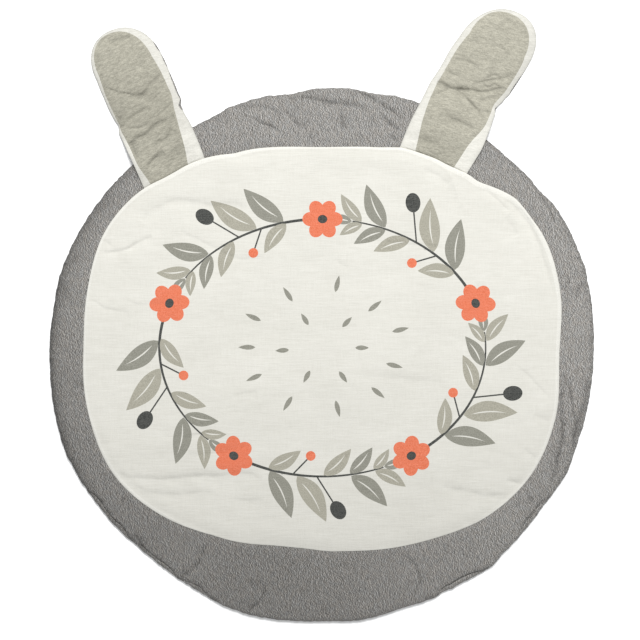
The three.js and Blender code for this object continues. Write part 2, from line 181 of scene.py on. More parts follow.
RING_CREASES = [
    # the same columns
    ([(-0.144, 0.433), (-0.118, 0.433), (-0.095, 0.430), (-0.081, 0.424), (-0.071, 0.414)],
     0.0042, 0.0100, 0.0014),
    ([(-0.118, 0.414), (-0.106, 0.403), (-0.088, 0.398), (-0.073, 0.386)], 0.0022, 0.0080, 0.0028),
    ([(-0.064, 0.424), (-0.053, 0.412), (-0.043, 0.403), (-0.027, 0.396)], 0.0032, 0.0100, 0.0020),
    ([(-0.060, 0.447), (-0.031, 0.449), (-0.008, 0.445), (0.013, 0.440), (0.039, 0.437), (0.062, 0.433),
      (0.081, 0.424)], 0.0060, 0.0140, 0.0028),
    ([(0.032, 0.433), (0.034, 0.410), (0.036, 0.386)], 0.0060, 0.0100, 0.0022),
    ([(0.052, 0.463), (0.080, 0.451), (0.101, 0.437), (0.122, 0.424), (0.141, 0.410)],
     0.0040, 0.0100, 0.0024),
    ([(0.102, 0.421), (0.118, 0.403), (0.134, 0.388)], 0.0042, 0.0100, 0.0026),
    ([(0.085, 0.416), (0.090, 0.405), (0.095, 0.393)], 0.0030, 0.0080, 0.0016),
    ([(0.116, 0.384), (0.134, 0.370)], 0.0050, 0.0090, 0.0020),
    ([(0.379, 0.281), (0.391, 0.260), (0.400, 0.242), (0.405, 0.228)], 0.0030, 0.0070, 0.0024),
    ([(0.416, 0.111), (0.428, 0.123), (0.437, 0.137)], 0.0022, 0.0060, 0.0018),
    ([(0.454, 0.125), (0.445, 0.109), (0.440, 0.095)], 0.0050, 0.0080, 0.0018),
    ([(0.419, -0.034), (0.428, -0.053), (0.433, -0.071), (0.437, -0.097), (0.440, -0.118),
      (0.447, -0.139)], 0.0030, 0.0060, 0.0030),
    ([(0.417, -0.050), (0.416, -0.076), (0.416, -0.106), (0.419, -0.132), (0.416, -0.158),
      (0.409, -0.185), (0.403, -0.211), (0.395, -0.232)], 0.0050, 0.0070, 0.0036),
    ([(0.463, -0.045), (0.458, -0.076), (0.451, -0.101), (0.442, -0.129), (0.438, -0.150),
      (0.433, -0.171)], 0.0060, 0.0060, 0.0036),
    ([(0.361, -0.248), (0.365, -0.256), (0.368, -0.265)], 0.0040, 0.0060, 0.0020),
    ([(0.396, -0.248), (0.381, -0.258), (0.368, -0.272), (0.356, -0.290), (0.346, -0.302),
      (0.339, -0.314)], 0.0022, 0.0050, 0.0038),
    ([(0.391, -0.260), (0.377, -0.276), (0.363, -0.291), (0.351, -0.309)], 0.0022, 0.0040, 0.0026),
    ([(0.155, -0.356), (0.165, -0.374), (0.171, -0.391), (0.165, -0.405), (0.160, -0.419)],
     0.0026, 0.0070, 0.0026),
    ([(0.181, -0.426), (0.195, -0.421)], 0.0040, 0.0050, 0.0026),
    ([(0.207, -0.353), (0.200, -0.370)], 0.0040, 0.0070, 0.0014),
    ([(0.258, -0.384), (0.274, -0.379), (0.290, -0.372)], 0.0040, 0.0050, 0.0024),
    ([(0.139, -0.346), (0.150, -0.356), (0.158, -0.368)], 0.0030, 0.0060, 0.0014),
    ([(-0.206, -0.335), (-0.213, -0.356), (-0.218, -0.365), (-0.232, -0.377), (-0.246, -0.389)],
     0.0040, 0.0080, 0.0030),
    ([(-0.223, -0.389), (-0.221, -0.400), (-0.218, -0.410)], 0.0030, 0.0060, 0.0018),
    ([(-0.104, -0.393), (-0.102, -0.412), (-0.109, -0.430), (-0.122, -0.440), (-0.130, -0.449)],
     0.0036, 0.0080, 0.0028),
    ([(-0.125, -0.389), (-0.123, -0.400), (-0.123, -0.412)], 0.0024, 0.0050, 0.0014),
    ([(-0.326, -0.314), (-0.318, -0.326), (-0.312, -0.340)], 0.0050, 0.0070, 0.0030),
    ([(0.004, -0.442), (0.006, -0.456)], 0.0030, 0.0050, 0.0016),
    ([(-0.344, -0.248), (-0.354, -0.265)], 0.0040, 0.0080, 0.0016),
    ([(-0.461, 0.129), (-0.445, 0.106), (-0.428, 0.085)], 0.0120, 0.0160, 0.0010),
    ([(-0.459, 0.017), (-0.442, 0.004), (-0.423, -0.008)], 0.0120, 0.0160, 0.0006),
    ([(-0.459, -0.031), (-0.438, -0.045), (-0.417, -0.059)], 0.0120, 0.0160, 0.0010),
    ([(-0.393, 0.246), (-0.379, 0.256), (-0.365, 0.270)], 0.0100, 0.0120, 0.0010),
]

# Those of the ears
LEFT_EAR_CREASES = [
    ([(-0.386, 0.470), (-0.372, 0.465), (-0.360, 0.459), (-0.347, 0.456), (-0.333, 0.455),
      (-0.312, 0.454)], 0.0022, 0.0060, 0.0018),
    ([(-0.332, 0.452), (-0.319, 0.452), (-0.311, 0.459), (-0.300, 0.473), (-0.293, 0.482),
      (-0.283, 0.489)], 0.0042, 0.0100, 0.0036),
    ([(-0.353, 0.396), (-0.342, 0.409), (-0.330, 0.417), (-0.319, 0.424), (-0.304, 0.435)],
     0.0032, 0.0090, 0.0026),
    ([(-0.298, 0.402), (-0.288, 0.416), (-0.277, 0.426), (-0.263, 0.440)], 0.0020, 0.0060, 0.0017),
    ([(-0.339, 0.363), (-0.328, 0.375), (-0.318, 0.381), (-0.307, 0.386), (-0.298, 0.396),
      (-0.288, 0.403), (-0.276, 0.409), (-0.258, 0.416)], 0.0042, 0.0120, 0.0048),
    ([(-0.342, 0.396), (-0.321, 0.396), (-0.309, 0.400), (-0.302, 0.409)], 0.0024, 0.0060, 0.0020),
    ([(-0.333, 0.372), (-0.328, 0.356), (-0.321, 0.340)], 0.0060, 0.0080, 0.0030),
    ([(-0.305, 0.326), (-0.295, 0.339), (-0.286, 0.347), (-0.277, 0.354)], 0.0045, 0.0100, 0.0034),
    ([(-0.288, 0.370), (-0.277, 0.374), (-0.269, 0.382), (-0.263, 0.393)], 0.0045, 0.0080, 0.0028),
    ([(-0.302, 0.356), (-0.290, 0.365), (-0.281, 0.374)], 0.0024, 0.0060, 0.0018),
    ([(-0.318, 0.447), (-0.304, 0.451), (-0.295, 0.456), (-0.291, 0.465)], 0.0020, 0.0050, 0.0014),
    ([(-0.309, 0.438), (-0.298, 0.444), (-0.290, 0.451)], 0.0020, 0.0050, 0.0012),
    ([(-0.375, 0.549), (-0.361, 0.549), (-0.344, 0.554), (-0.332, 0.556)], 0.0060, 0.0100, 0.0026),
    ([(-0.367, 0.428), (-0.358, 0.417), (-0.351, 0.407)], 0.0040, 0.0060, 0.0018),
    ([(-0.337, 0.498), (-0.323, 0.505), (-0.311, 0.501)], 0.0035, 0.0080, 0.0012),
]
RIGHT_EAR_CREASES = [
    ([(0.200, 0.477), (0.213, 0.472), (0.223, 0.466), (0.237, 0.463), (0.255, 0.463)],
     0.0058, 0.0120, 0.0054),
    ([(0.227, 0.465), (0.249, 0.463), (0.267, 0.461), (0.284, 0.460), (0.300, 0.463),
      (0.319, 0.466)], 0.0034, 0.0100, 0.0040),
    ([(0.185, 0.445), (0.197, 0.454), (0.209, 0.459), (0.227, 0.465)], 0.0020, 0.0060, 0.0020),
    ([(0.234, 0.463), (0.248, 0.452), (0.258, 0.440), (0.269, 0.428), (0.277, 0.416),
      (0.286, 0.409)], 0.0028, 0.0080, 0.0032),
    ([(0.262, 0.472), (0.281, 0.477), (0.297, 0.480), (0.312, 0.482), (0.332, 0.489)],
     0.0028, 0.0070, 0.0025),
    ([(0.283, 0.482), (0.297, 0.487), (0.311, 0.486)], 0.0020, 0.0050, 0.0013),
    ([(0.281, 0.470), (0.291, 0.468), (0.302, 0.472), (0.312, 0.461)], 0.0022, 0.0040, 0.0022),
    ([(0.272, 0.442), (0.288, 0.447), (0.300, 0.451), (0.314, 0.451)], 0.0028, 0.0080, 0.0026),
    ([(0.211, 0.498), (0.223, 0.493), (0.241, 0.484)], 0.0042, 0.0080, 0.0014),
    ([(0.228, 0.517), (0.244, 0.515), (0.258, 0.510), (0.270, 0.505)], 0.0024, 0.0070, 0.0016),
    ([(0.207, 0.421), (0.223, 0.412), (0.237, 0.407), (0.249, 0.400), (0.263, 0.391)],
     0.0080, 0.0140, 0.0030),
    ([(0.248, 0.549), (0.265, 0.547), (0.283, 0.540)], 0.0025, 0.0070, 0.0010),
    ([(0.288, 0.540), (0.304, 0.538), (0.318, 0.533)], 0.0025, 0.0070, 0.0010),
    ([(0.316, 0.585), (0.330, 0.580), (0.340, 0.570)], 0.0060, 0.0090, 0.0018),
    ([(0.228, 0.442), (0.244, 0.431), (0.258, 0.424)], 0.0040, 0.0070, 0.0012),
    ([(0.272, 0.426), (0.283, 0.423), (0.293, 0.424)], 0.0020, 0.0050, 0.0014),
    ([(0.171, 0.379), (0.185, 0.370), (0.199, 0.368)], 0.0050, 0.0080, 0.0014),
    ([(0.178, 0.358), (0.199, 0.349), (0.223, 0.340)], 0.0060, 0.0100, 0.0018),
]

# Broad unevenness of the filling: turns in radians a metre along x and y, height, phase
SWELLS = [(21, 13, 0.00035, 0.4), (-12, 24, 0.00035, 2.2), (34, -29, 0.0002, 4.0)]

# Small wrinkles. Those with a valley width, in the noise, have crisp valleys between rounded folds.
PANEL_WRINKLES = [
    # height, valley width, length, width, seed, direction
    (0.00042, None, 0.11, 0.035, 3.1, 0.12),
    (0.00022, None, 0.05, 0.018, 7.7, -0.35),
    (0.00014, None, 0.016, 0.016, 5.3, 0),
    (0.00016, 0.09, 0.070, 0.024, 9.6, 0.25),
]
RING_WRINKLES = [
    # height, valley width, length round the rug, width, seed
    (0.00045, None, 0.070, 0.026, 13.4),
    (0.00016, None, 0.024, 0.013, 15.9),
    (0.00020, 0.09, 0.060, 0.030, 17.1),
]
RIM_BUMPS = [
    (0.0008, None, 0.014, 1, 41.0),
    (0.0010, None, 0.0062, 1, 45.1),
    (0.0009, 0.09, 0.020, 1, 43.7),
]
EAR_WRINKLES = [
    # height, valley width, length, width, more than the ear's seed, more than its direction
    (0.00040, None, 0.036, 0.016, 0, 0),
    (0.00020, 0.12, 0.034, 0.013, 1.5, 0),
    (0.00016, None, 0.018, 0.0060, 2.5, 0.2),
    (0.00017, None, 0.009, 0.0042, 6.5, -0.4),
]

WRINKLE_FADE = 0.030        # distance from the panel's seam over which its wrinkles grow
CREASE_FADE = 0.007         # and its creases
GATHERS = [
    # length along a seam, share of the height, share of the reach, more than the seed
    (0.008, 0.55, 0.45, 0),
    (0.026, 0.9, 1, 4.2),
]
PANEL_GATHERS = (21.0, 0.012, 0.0007)       # seed, reach, height
RIM_GATHERS = (31.0, 0.026, 0.0014)
EDGE_FADE = 0.003           # distance over which the panel's gathers and its ridge start and end

# Width of the panel's turned-under allowance, which shows whiter through the cloth
ALLOWANCE = [
    # angle in degrees, width
    (0, 0.0068),
    (28, 0.0080),
    (50, 0.0095),
    (66, 0.0060),
    (90, 0.0025),
    (108, 0.0060),
    (122, 0.0085),
    (140, 0.0055),
    (165, 0.0040),
    (190, 0.0045),
    (212, 0.0068),
    (226, 0.0060),
    (240, 0.0015),
    (270, 0.0010),
    (300, 0.0010),
    (318, 0.0030),
    (340, 0.0060),
    (360, 0.0068),
]

# The ears
EAR_FILL = 0.007            # full thickness
EAR_SEAM = 0.002            # height of the side seam above what the ear lies on
EAR_EDGE = 0.0007           # thickness of the turned seam at an ear's side
EAR_ROOT_FILL = 0.0014      # thickness where the root is sewn down
EAR_SEWN_FILL = 0.0038      # just outside the panel's edge
EAR_ROLL = 0.027            # distance over which the top rises from the side seam
EAR_UNDER_ROLL = 0.006      # and over which the underside falls from it
EAR_TUCK = 0.009            # reach of the root under the panel's edge
EAR_SWELL = 0.042           # length over which the root swells to the full thickness
EAR_LIFT = 0.0005           # clearance of the sewn root above the ring
RIM_LIFT = 0.002            # and at the rim's shoulder
DRAPE_LENGTH = 0.095        # distance over which an ear falls from the shoulder to the floor
TIP_POWER = 2.2             # roundness of the tip: 2 is an ellipse
EAR_PUCKERS = (0.0008, 0.011, 5.5, 0.008)   # at the side seam: height, length, more than the seed, reach
SEWN_END = 0.003            # distance outside the panel's edge where the root starts to swell
EAR_GROWN = 0.020           # and over which its wrinkles grow
EAR_EDGE_PAINTED_SHADE = 0.9        # painted shade along the side seam, where the ear's edge rolls down
# Reach of that painted shade in from the seam
EAR_EDGE_PAINTED_SHADE_WIDTH = 0.0013
PEEK_OVERLAP = 0.002        # the grey cloth that shows runs this far past the ear's outline
PEEK_STEPS = 40             # points along it
POCKET = EAR_LIFT + EAR_ROOT_FILL + 2 * CLEAR
POCKET_REACH = (0.006, 0.040)       # outside the panel's edge: where a pocket starts to end, and over what
POCKET_FADE = 3             # degrees over which a pocket ends at each side
CALM_SHARE = 0.45           # how much of the small wrinkles is left towards an ear's tip
EAR_CELL = 0.0013           # spacing of an ear's points
PANEL_CELL = 0.0032         # spacing of the panel's points
FINE_CELL = 0.0018          # spacing beside its creases
FINE_REACH = 0.0075
UNDER_CELL = 0.012          # spacing of the points of its hidden underside
PANEL_EDGE_CELL = 0.0030    # spacing of the points along its edge
# Extra rows of points inside an edge, by their distance from it
PANEL_INSETS = [0.0009, 0.0021, 0.0036, 0.0054, 0.0076, 0.0102]
EAR_INSETS = [0.0006, 0.0014, 0.0026, 0.0040]

# The places in sections, tips and peeks are along the ear from its root and across it. Painted light and
# shade on its cloth and on its ink are given at places along y, for how the light falls along the ear. Its
# cloth is crushed to a height in metres, and its wrinkles run at an angle in degrees and calm down along a
# stretch of it.
EARS = [
    {
        "node": "ear_left",
        "root": (-0.2585, 0.3163),
        "lean": -21.3,
        "pocket": (129, 9.5),
        "round_from": 0.203,
        "tip": (0.274, -0.012),
        # along, left edge, right edge, left and right edge of the taupe print
        "sections": [
            (-0.020, -0.0590, 0.0590, -0.0430, 0.0220),
            (0.000, -0.0590, 0.0590, -0.0460, 0.0268),
            (0.035, -0.0600, 0.0595, -0.0535, 0.0338),
            (0.070, -0.0625, 0.0580, -0.0558, 0.0373),
            (0.092, -0.0640, 0.0545, -0.0583, 0.0394),
            (0.101, -0.0647, 0.0542, -0.0597, 0.0404),
            (0.108, -0.0626, 0.0540, -0.0598, 0.0412),
            (0.114, -0.0613, 0.0572, -0.0590, 0.0424),
            (0.121, -0.0633, 0.0578, -0.0600, 0.0438),
            (0.130, -0.0647, 0.0570, -0.0608, 0.0451),
            (0.145, -0.0664, 0.0572, -0.0617, 0.0442),
            (0.168, -0.0670, 0.0563, -0.0628, 0.0431),
            (0.188, -0.0678, 0.0560, -0.0621, 0.0406),
            (0.212, -0.0672, 0.0532, -0.0605, 0.0360),
            (0.235, -0.0638, 0.0490, -0.0560, 0.0288),
        ],
        "print_from": (-0.006, 0.000),
        "print_round_from": 0.205,
        "print_tip": (0.2692, -0.0170),
        "peeks": [
            # from, to, width of grey jersey that shows at the ear's right side
            (0.097, 0.118, 0.0042),
            (0.112, 0.171, 0.0027),
            (0.177, 0.203, 0.0020),
            (0.208, 0.230, 0.0020),
        ],
        "cloth_painted_light": [(0.32, 0.95), (0.365, 1.04), (0.40, 0.80), (0.455, 0.81), (0.485, 0.92), (0.52, 0.89)],
        "ink_painted_light": [(0.33, 1.05), (0.37, 0.88), (0.45, 0.90), (0.52, 1.00)],
        "crush": 0.00014,
        "wrinkle_turn": 32,
        "calm_from": (0.200, 0.260),
        "creases": LEFT_EAR_CREASES,
    },
    {
        "node": "ear_right",
        "root": (0.1937, 0.3399),
        "lean": 24,
        "pocket": (60.3, 10.5),
        "round_from": 0.216,
        "tip": (0.296, 0.030),
        "sections": [
            (-0.020, -0.0630, 0.0620, -0.0300, 0.0330),
            (0.000, -0.0630, 0.0630, -0.0352, 0.0375),
            (0.024, -0.0640, 0.0660, -0.0400, 0.0412),
            (0.050, -0.0640, 0.0690, -0.0453, 0.0458),
            (0.086, -0.0618, 0.0682, -0.0489, 0.0568),
            (0.110, -0.0608, 0.0663, -0.0490, 0.0579),
            (0.119, -0.0606, 0.0658, -0.0490, 0.0578),
            (0.126, -0.0597, 0.0631, -0.0485, 0.0570),
            (0.133, -0.0582, 0.0648, -0.0475, 0.0576),
            (0.142, -0.0568, 0.0693, -0.0466, 0.0603),
            (0.150, -0.0553, 0.0710, -0.0457, 0.0628),
            (0.158, -0.0545, 0.0748, -0.0450, 0.0658),
            (0.193, -0.0512, 0.0804, -0.0413, 0.0711),
            (0.220, -0.0453, 0.0840, -0.0350, 0.0733),
            (0.240, -0.0382, 0.0840, -0.0288, 0.0702),
        ],
        "print_from": (-0.003, -0.004),
        "print_round_from": 0.228,
        "print_tip": (0.2885, 0.0220),
        "peeks": [
            (0.119, 0.129, 0.0015),
            (0.158, 0.198, 0.0017),
        ],
        "cloth_painted_light": [(0.335, 1.14), (0.36, 1.08), (0.395, 0.98), (0.45, 0.88), (0.49, 0.86), (0.55, 0.89)],
        "ink_painted_light": [(0.33, 1.08), (0.38, 1.02), (0.46, 1.00), (0.54, 1.05)],
        "crush": 0.00009,
        "wrinkle_turn": -8,
        "calm_from": (0.150, 0.200),
        "creases": RIGHT_EAR_CREASES,
    },
]

# The print: inks as linear colours
INKS = {
    "bare": (1.0, 1.0, 1.0, 0.0),
    "taupe": (0.239, 0.235, 0.196, 1.0),
    "pale_taupe": (0.350, 0.335, 0.272, 1.0),
    "charcoal": (0.029, 0.032, 0.030, 1.0),
    "coral": (0.709, 0.159, 0.070, 1.0),
    "allowance": (0.771, 0.760, 0.709, 0.5),
}
# A wreath of sprigs, in metres
WREATH_CENTRE = np.array([0.0, 0.012])
WREATH_SIZE = np.array([0.284, 0.224])
SPRIGS = 5
BLOSSOM = 0.070
STEM = (0.030, 0.268)       # where a sprig's stem starts and ends, along the wreath from its blossom
LEAVES = [
    # place along the wreath, side (1 is inside), length, width, angle to the stem, ink
    (0.066, -1, 0.090, 0.035, 50, "taupe"),
    (0.062, 1, 0.064, 0.026, 44, "pale_taupe"),
    (0.114, -1, 0.094, 0.036, 50, "pale_taupe"),
    (0.160, 1, 0.066, 0.026, 44, "pale_taupe"),
    (0.208, -1, 0.082, 0.032, 48, "taupe"),
    (0.206, 1, 0.060, 0.024, 42, "taupe"),
    (0.250, -1, 0.060, 0.023, 42, "pale_taupe"),
    (0.248, 1, 0.044, 0.018, 38, "pale_taupe"),
    (0.266, 1, 0.040, 0.017, 4, "taupe"),
]
STALKS = [
    # place along the wreath, side, length, angle, berry length and width, ink
    (0.150, -1, 0.056, 56, 0.034, 0.026, "charcoal"),
    (0.108, 1, 0.038, 54, 0.017, 0.017, "coral"),
]
VEIN = (0.14, 0.66, 0.0024)         # where a leaf's bare vein starts, its length in leaves, and its width
LEAF_BOW = -0.05            # how far a leaf bends back, as a share of its length
PETALS = 6
PETAL_REACH = 0.29          # from a blossom's middle, in blossoms, as the next three are
PETAL = (0.42, 0.36)
BLOSSOM_MIDDLE = (0.40, 0.40)
BLOSSOM_EYE = (0.24, 0.21)
STEM_WIDTHS = (0.0050, 0.0024)      # at its start and its end
STALK_WIDTH = 0.0026
DASH_RINGS = [(6, 0.20, 0.024), (11, 0.42, 0.030)]      # count, share of the wreath's size, length
DASH_WIDTH = 0.0085

# Materials
JERSEY = "jersey"           # marks the faces of an ear's top that are of the grey cloth
STREAK = (0.0017, 0.0026, 0.0017)       # size of a streak of the heather along x, y and z
STREAK_LEAN = 13            # degrees that the streaks lean by
STREAK_PAINTED_SHADOW = 0.0014      # how far aside the painted shadow of each streak lies
JERSEY_BUMP = 0.0004
JERSEY_DARKEST = 0.40       # share of its colour that the cloth keeps where the mesh's painted shade is 1
PANEL_PAINTED_LIGHT = [(-0.35, 0.885), (0.0, 0.975), (0.15, 0.99), (0.34, 0.985)]       # painted shade at places along y, darkest towards the bottom, where less light falls
# Painted shade on the panel's ink, darker towards the bottom
PANEL_INK_PAINTED_LIGHT = [(-0.35, 0.95), (0.0, 1.0)]
PANEL_CRUSH = 0.00006       # height of its fine crumples
# Share of its colour that the cotton keeps where the mesh's painted shade is 1
COTTON_DARKEST = 0.66
WEAVE_HEIGHT = 0.0004
VALLEY = 0.06               # width of the crumples' valleys in the noise
RIPPLES = [(0.013, 0.0030, 0.02), (0.009, 0.0023, 0.02)]     # sizes along and across the ears' ripples
# Painted light and shade across the ripples, at places in their noise
RIPPLE_PAINTED_LIGHT_AND_SHADE = [(0.38, 0.91), (0.62, 1.09)]
RIPPLE_HEIGHT = 0.00018
RIPPLES_ON_WHITE = 0.35     # share of the ripples that shows where nothing is printed

# Colours as stops: place in the noise, then linear colour
HEATHER = [(0.35, (0.062, 0.060, 0.056)), (0.50, (0.233, 0.226, 0.212)), (0.65, (0.520, 0.508, 0.480))]
HEATHER_WARMTH = [(0.35, (1.02, 0.99, 0.97)), (0.65, (0.99, 1.0, 1.02))]
COTTON = [(0.30, (0.620, 0.607, 0.550)), (0.50, (0.684, 0.670, 0.613)), (0.70, (0.735, 0.724, 0.669))]
COTTON_CLOUDS = [(0.25, (0.97, 0.97, 0.965)), (0.75, (1.02, 1.02, 1.02))]

# Stage
FLOOR_HALF = 4.0
FLOOR_GLOW = 0.12
KEY_PLACE = (0.4, 2.9, 3.95)
KEY_TARGET = (0.0, 0.1, 0.0)
KEY_SIZE = 1.8
KEY_POWER = 250
SKY_COLOUR = (0.97, 0.985, 1.0, 1.0)
SKY_STRENGTH = 0.43

# Where the photograph was taken from, and how much of the floor it shows
VIEW_WIDTH = 1.12
VIEW_CENTRE = (-0.0044, 0.0604)
CAMERA_HEIGHT = 2.6
SENSOR = 36.0               # width in millimetres


def lerp(a, b, t):
    return a + (b - a) * t


def smooth(t):
    t = np.clip(t, 0, 1)
    return t * t * (3 - 2 * t)


def swell(t):
    return 1 - (1 - np.clip(t, 0, 1)) ** 2


def cubic(a, b, c, d, t):
    """A smooth curve through four even values, between the second and the third."""
    slope_in = (c - a) / 2
    slope_out = (d - b) / 2
    bend = 3 * (c - b) - 2 * slope_in - slope_out
    twist = 2 * (b - c) + slope_in + slope_out
    return b + t * (slope_in + t * (bend + t * twist))


def around(radius, theta):
    return radius * np.cos(theta), radius * np.sin(theta)


def pointing(angle):
    return np.array([math.cos(angle), math.sin(angle)])


def noise_field(x, y, length, seed, across=None, turn=0.0):
    """Smooth noise from about -1 to 1, drawn out along the direction turn where across is under length."""
    across = across or length
    u = (x * math.cos(turn) + y * math.sin(turn)) / length
    v = (y * math.cos(turn) - x * math.sin(turn)) / across
    values = [noise.noise((a, b, seed)) for a, b in zip(np.ravel(u), np.ravel(v))]
    return np.reshape(values, np.shape(u))


def ring_noise(theta, radius, length, across, seed):
    """Smooth noise drawn out round the rug, where length runs with the rim and across to it."""
    x, y = around(NOISE_RADIUS, theta)
    x, y, z = np.broadcast_arrays(x / length, y / length, radius / across + seed)
    return np.reshape([noise.noise(place) for place in zip(x.ravel(), y.ravel(), z.ravel())], x.shape)


def crinkled(values, valley):
    """Crisp narrow valleys between rounded folds, -1 in the valleys, where smooth noise crosses nought."""
    return -np.exp(-np.abs(values) / valley)


def wrinkle_sum(rows, noise_at):
    """Wrinkles added up from rows of height, valley width or None, and what noise_at takes."""
    total = 0
    for height, valley, *field in rows:
        values = noise_at(*field)
        total = total + height * (crinkled(values, valley) if valley else values)
    return total


def frame_outline(node):
    """The largest radius of a CAD node at each of its sides, from +X towards +Y."""
    points = np.array([v.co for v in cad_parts[node].data.vertices])
    side = np.rint(np.arctan2(points[:, 1], points[:, 0]) * OUTLINE_SIDES / (2 * math.pi)).astype(int)
    outline = np.zeros(OUTLINE_SIDES)
    np.maximum.at(outline, side % OUTLINE_SIDES, np.hypot(points[:, 0], points[:, 1]))
    return outline


RIM_OUTLINE = frame_outline("mat_body")
PANEL_OUTLINE = frame_outline("top_panel")


def radius_at(outline, theta):
    place = (theta * OUTLINE_SIDES / (2 * math.pi)) % OUTLINE_SIDES
    row = np.floor(place).astype(int)
    near = [outline[(row + shift) % OUTLINE_SIDES] for shift in (-1, 0, 1, 2)]
    return cubic(*near, place - row)


def past_panel(x, y):
    """How far a place lies outside the panel's sewn edge, negative inside it."""
    return np.hypot(x, y) - radius_at(PANEL_OUTLINE, np.arctan2(y, x))


def in_stretch(theta, stretch, fade):
    """1 inside a stretch of the outline given by its middle and half width in degrees, 0 past its end."""
    away = np.abs((np.degrees(theta) - stretch[0] + 180) % 360 - 180)
    return smooth((stretch[1] + fade / 2 - away) / fade)


def nearest_on_line(through, x, y):
    """Distance to a line of points, the share along it of the nearest place, and how much the way from there
    leads towards the light, from -1 to 1."""
    best = np.full(np.shape(x), np.inf)
    along = np.zeros(np.shape(x))
    lit = np.zeros(np.shape(x))
    for i, ((x0, y0), (x1, y1)) in enumerate(zip(through, through[1:])):
        run = (x1 - x0, y1 - y0)
        share = np.clip(((x - x0) * run[0] + (y - y0) * run[1]) / (run[0] ** 2 + run[1] ** 2), 0, 1)
        off = (x - x0 - share * run[0], y - y0 - share * run[1])
        away = np.hypot(*off)
        closer = away < best
        best = np.where(closer, away, best)
        along = np.where(closer, (i + share) / (len(through) - 1), along)
        towards = (off[0] * LIGHT_FROM[0] + off[1] * LIGHT_FROM[1]) / np.maximum(away, 1e-9)
        lit = np.where(closer, towards, lit)
    return best, along, lit


def smooth_line(points, steps=5):
    """Closer points on a smooth curve through the given ones."""
    points = np.array(points)
    last = len(points) - 1
    closer = [
        cubic(*(points[min(max(i + shift, 0), last)] for shift in (-1, 0, 1, 2)), k / steps)
        for i in range(last) for k in range(steps)
    ]
    return np.array(closer + [points[last]])


def crease_depth(creases, x, y, bottoms=False):
    """Depth of the creases below smooth cloth: wandering valleys of uneven depth, or just their bottoms,
    where the painted shade goes.
    """
    shape = np.shape(x)
    x, y = np.ravel(x), np.ravel(y)
    moved_x, moved_y = x, y
    for size, length, more in CREASE_WANDER:
        moved_x = moved_x + size * noise_field(x, y, length, 81.0 + more)
        moved_y = moved_y + size * noise_field(x, y, length, 85.0 + more)
    share, length, seed = CREASE_UNEVEN
    uneven = 1 + share * noise_field(x, y, length, seed)
    total = np.zeros(len(x))
    for through, steep, gentle, depth in creases:
        line = smooth_line(through)
        low = line.min(axis=0) - CREASE_REACH * gentle
        high = line.max(axis=0) + CREASE_REACH * gentle
        near = (x > low[0]) & (x < high[0]) & (y > low[1]) & (y < high[1])
        away, along, lit = nearest_on_line(line, moved_x[near], moved_y[near])
        width = CREASE_BOTTOM * steep if bottoms else lerp(gentle, steep, smooth(0.5 + lit))
        fade = (4 * along * (1 - along)) ** 0.5
        total[near] += depth * fade * np.exp(-(away / width) ** 1.3)
    return (total * uneven).reshape(shape)


def crease_painted_shade(creases, x, y):
    """Painted shade in the bottoms of the creases, from 0 to 1."""
    return np.clip(crease_depth(creases, x, y, bottoms=True) / PAINTED_SHADE_DEPTH, 0, 1)


def pad_height(x, y):
    """Top of the filling, as it would be with no ear sewn in."""
    from_seam = past_panel(x, y)
    inside = from_seam <= 0
    full = np.where(inside, swell(-from_seam / PANEL_RISE), swell(from_seam / RING_RISE))
    crown = np.where(inside, PANEL_CROWN, RING_CROWN) - SEAM_FLOOR
    uneven = sum(size * np.sin(a * x + b * y + phase) for a, b, size, phase in SWELLS)
    return SEAM_FLOOR + (crown + uneven) * full


def panel_relief(x, y):
    """Creases and soft wrinkles of the panel, nothing at its sewn edge. The creases run closer to it."""
    from_edge = -past_panel(x, y)
    wrinkles = wrinkle_sum(PANEL_WRINKLES, lambda length, across, seed, turn: noise_field(
        x, y, length, seed, across, turn))
    creases = crease_depth(PANEL_CREASES, x, y)
    return wrinkles * smooth(from_edge / WRINKLE_FADE) - creases * smooth(from_edge / CREASE_FADE)


def allowance_width(theta):
    angles, widths = zip(*ALLOWANCE)
    return np.interp(np.degrees(theta) % 360, angles, widths)


def seam_puckers(theta, away, seed, reach, size):
    """Small gathers along a sewn line, which die away from it."""
    total = 0
    for length, share, near, more in GATHERS:
        gathers = ring_noise(theta, 0, length, 1, seed + more)
        total = total + share * gathers * np.exp(-away / (near * reach))
    return size * total


def panel_top(x, y):
    theta = np.arctan2(y, x)
    from_edge = np.maximum(0, -past_panel(x, y))
    started = smooth(from_edge / EDGE_FADE)
    puckers = seam_puckers(theta, from_edge, *PANEL_GATHERS) * started
    past = smooth((from_edge - allowance_width(theta)) / EDGE_FADE)
    allowance = SEAM_RIDGE * (1 - past) * started
    return pad_height(x, y) + CLEAR + SHEET + panel_relief(x, y) + puckers + allowance


def pocket_depth(x, y):
    """How far the round is hollowed for the ears' sewn roots."""
    theta = np.arctan2(y, x)
    from_seam = past_panel(x, y)
    inward = smooth((from_seam + PANEL_RISE) / (PANEL_RISE - EAR_TUCK - 0.002))
    outward = 1 - smooth((from_seam - POCKET_REACH[0]) / POCKET_REACH[1])
    return POCKET * inward * outward * sum(in_stretch(theta, ear["pocket"], POCKET_FADE) for ear in EARS)


def body_height(x, y):
    return pad_height(x, y) - pocket_depth(x, y)


def set_painted_shade(piece, values):
    """Painted shade, which darkens the cloth at each point of a piece as its materials read it: 0 is plain.
    """
    shade = piece.data.attributes.new("shade", "FLOAT", "POINT")
    shade.data.foreach_set("value", np.asarray(values, np.float32))


def mesh_object(name, points, faces, materials):
    mesh = bpy.data.meshes.new(name)
    mesh.from_pydata(points, [], faces)
    mesh.polygons.foreach_set("use_smooth", [True] * len(mesh.polygons))
    for material in materials:
        mesh.materials.append(material)
    mesh.update()
    piece = bpy.data.objects.new(name, mesh)
    bpy.context.scene.collection.objects.link(piece)
    return piece


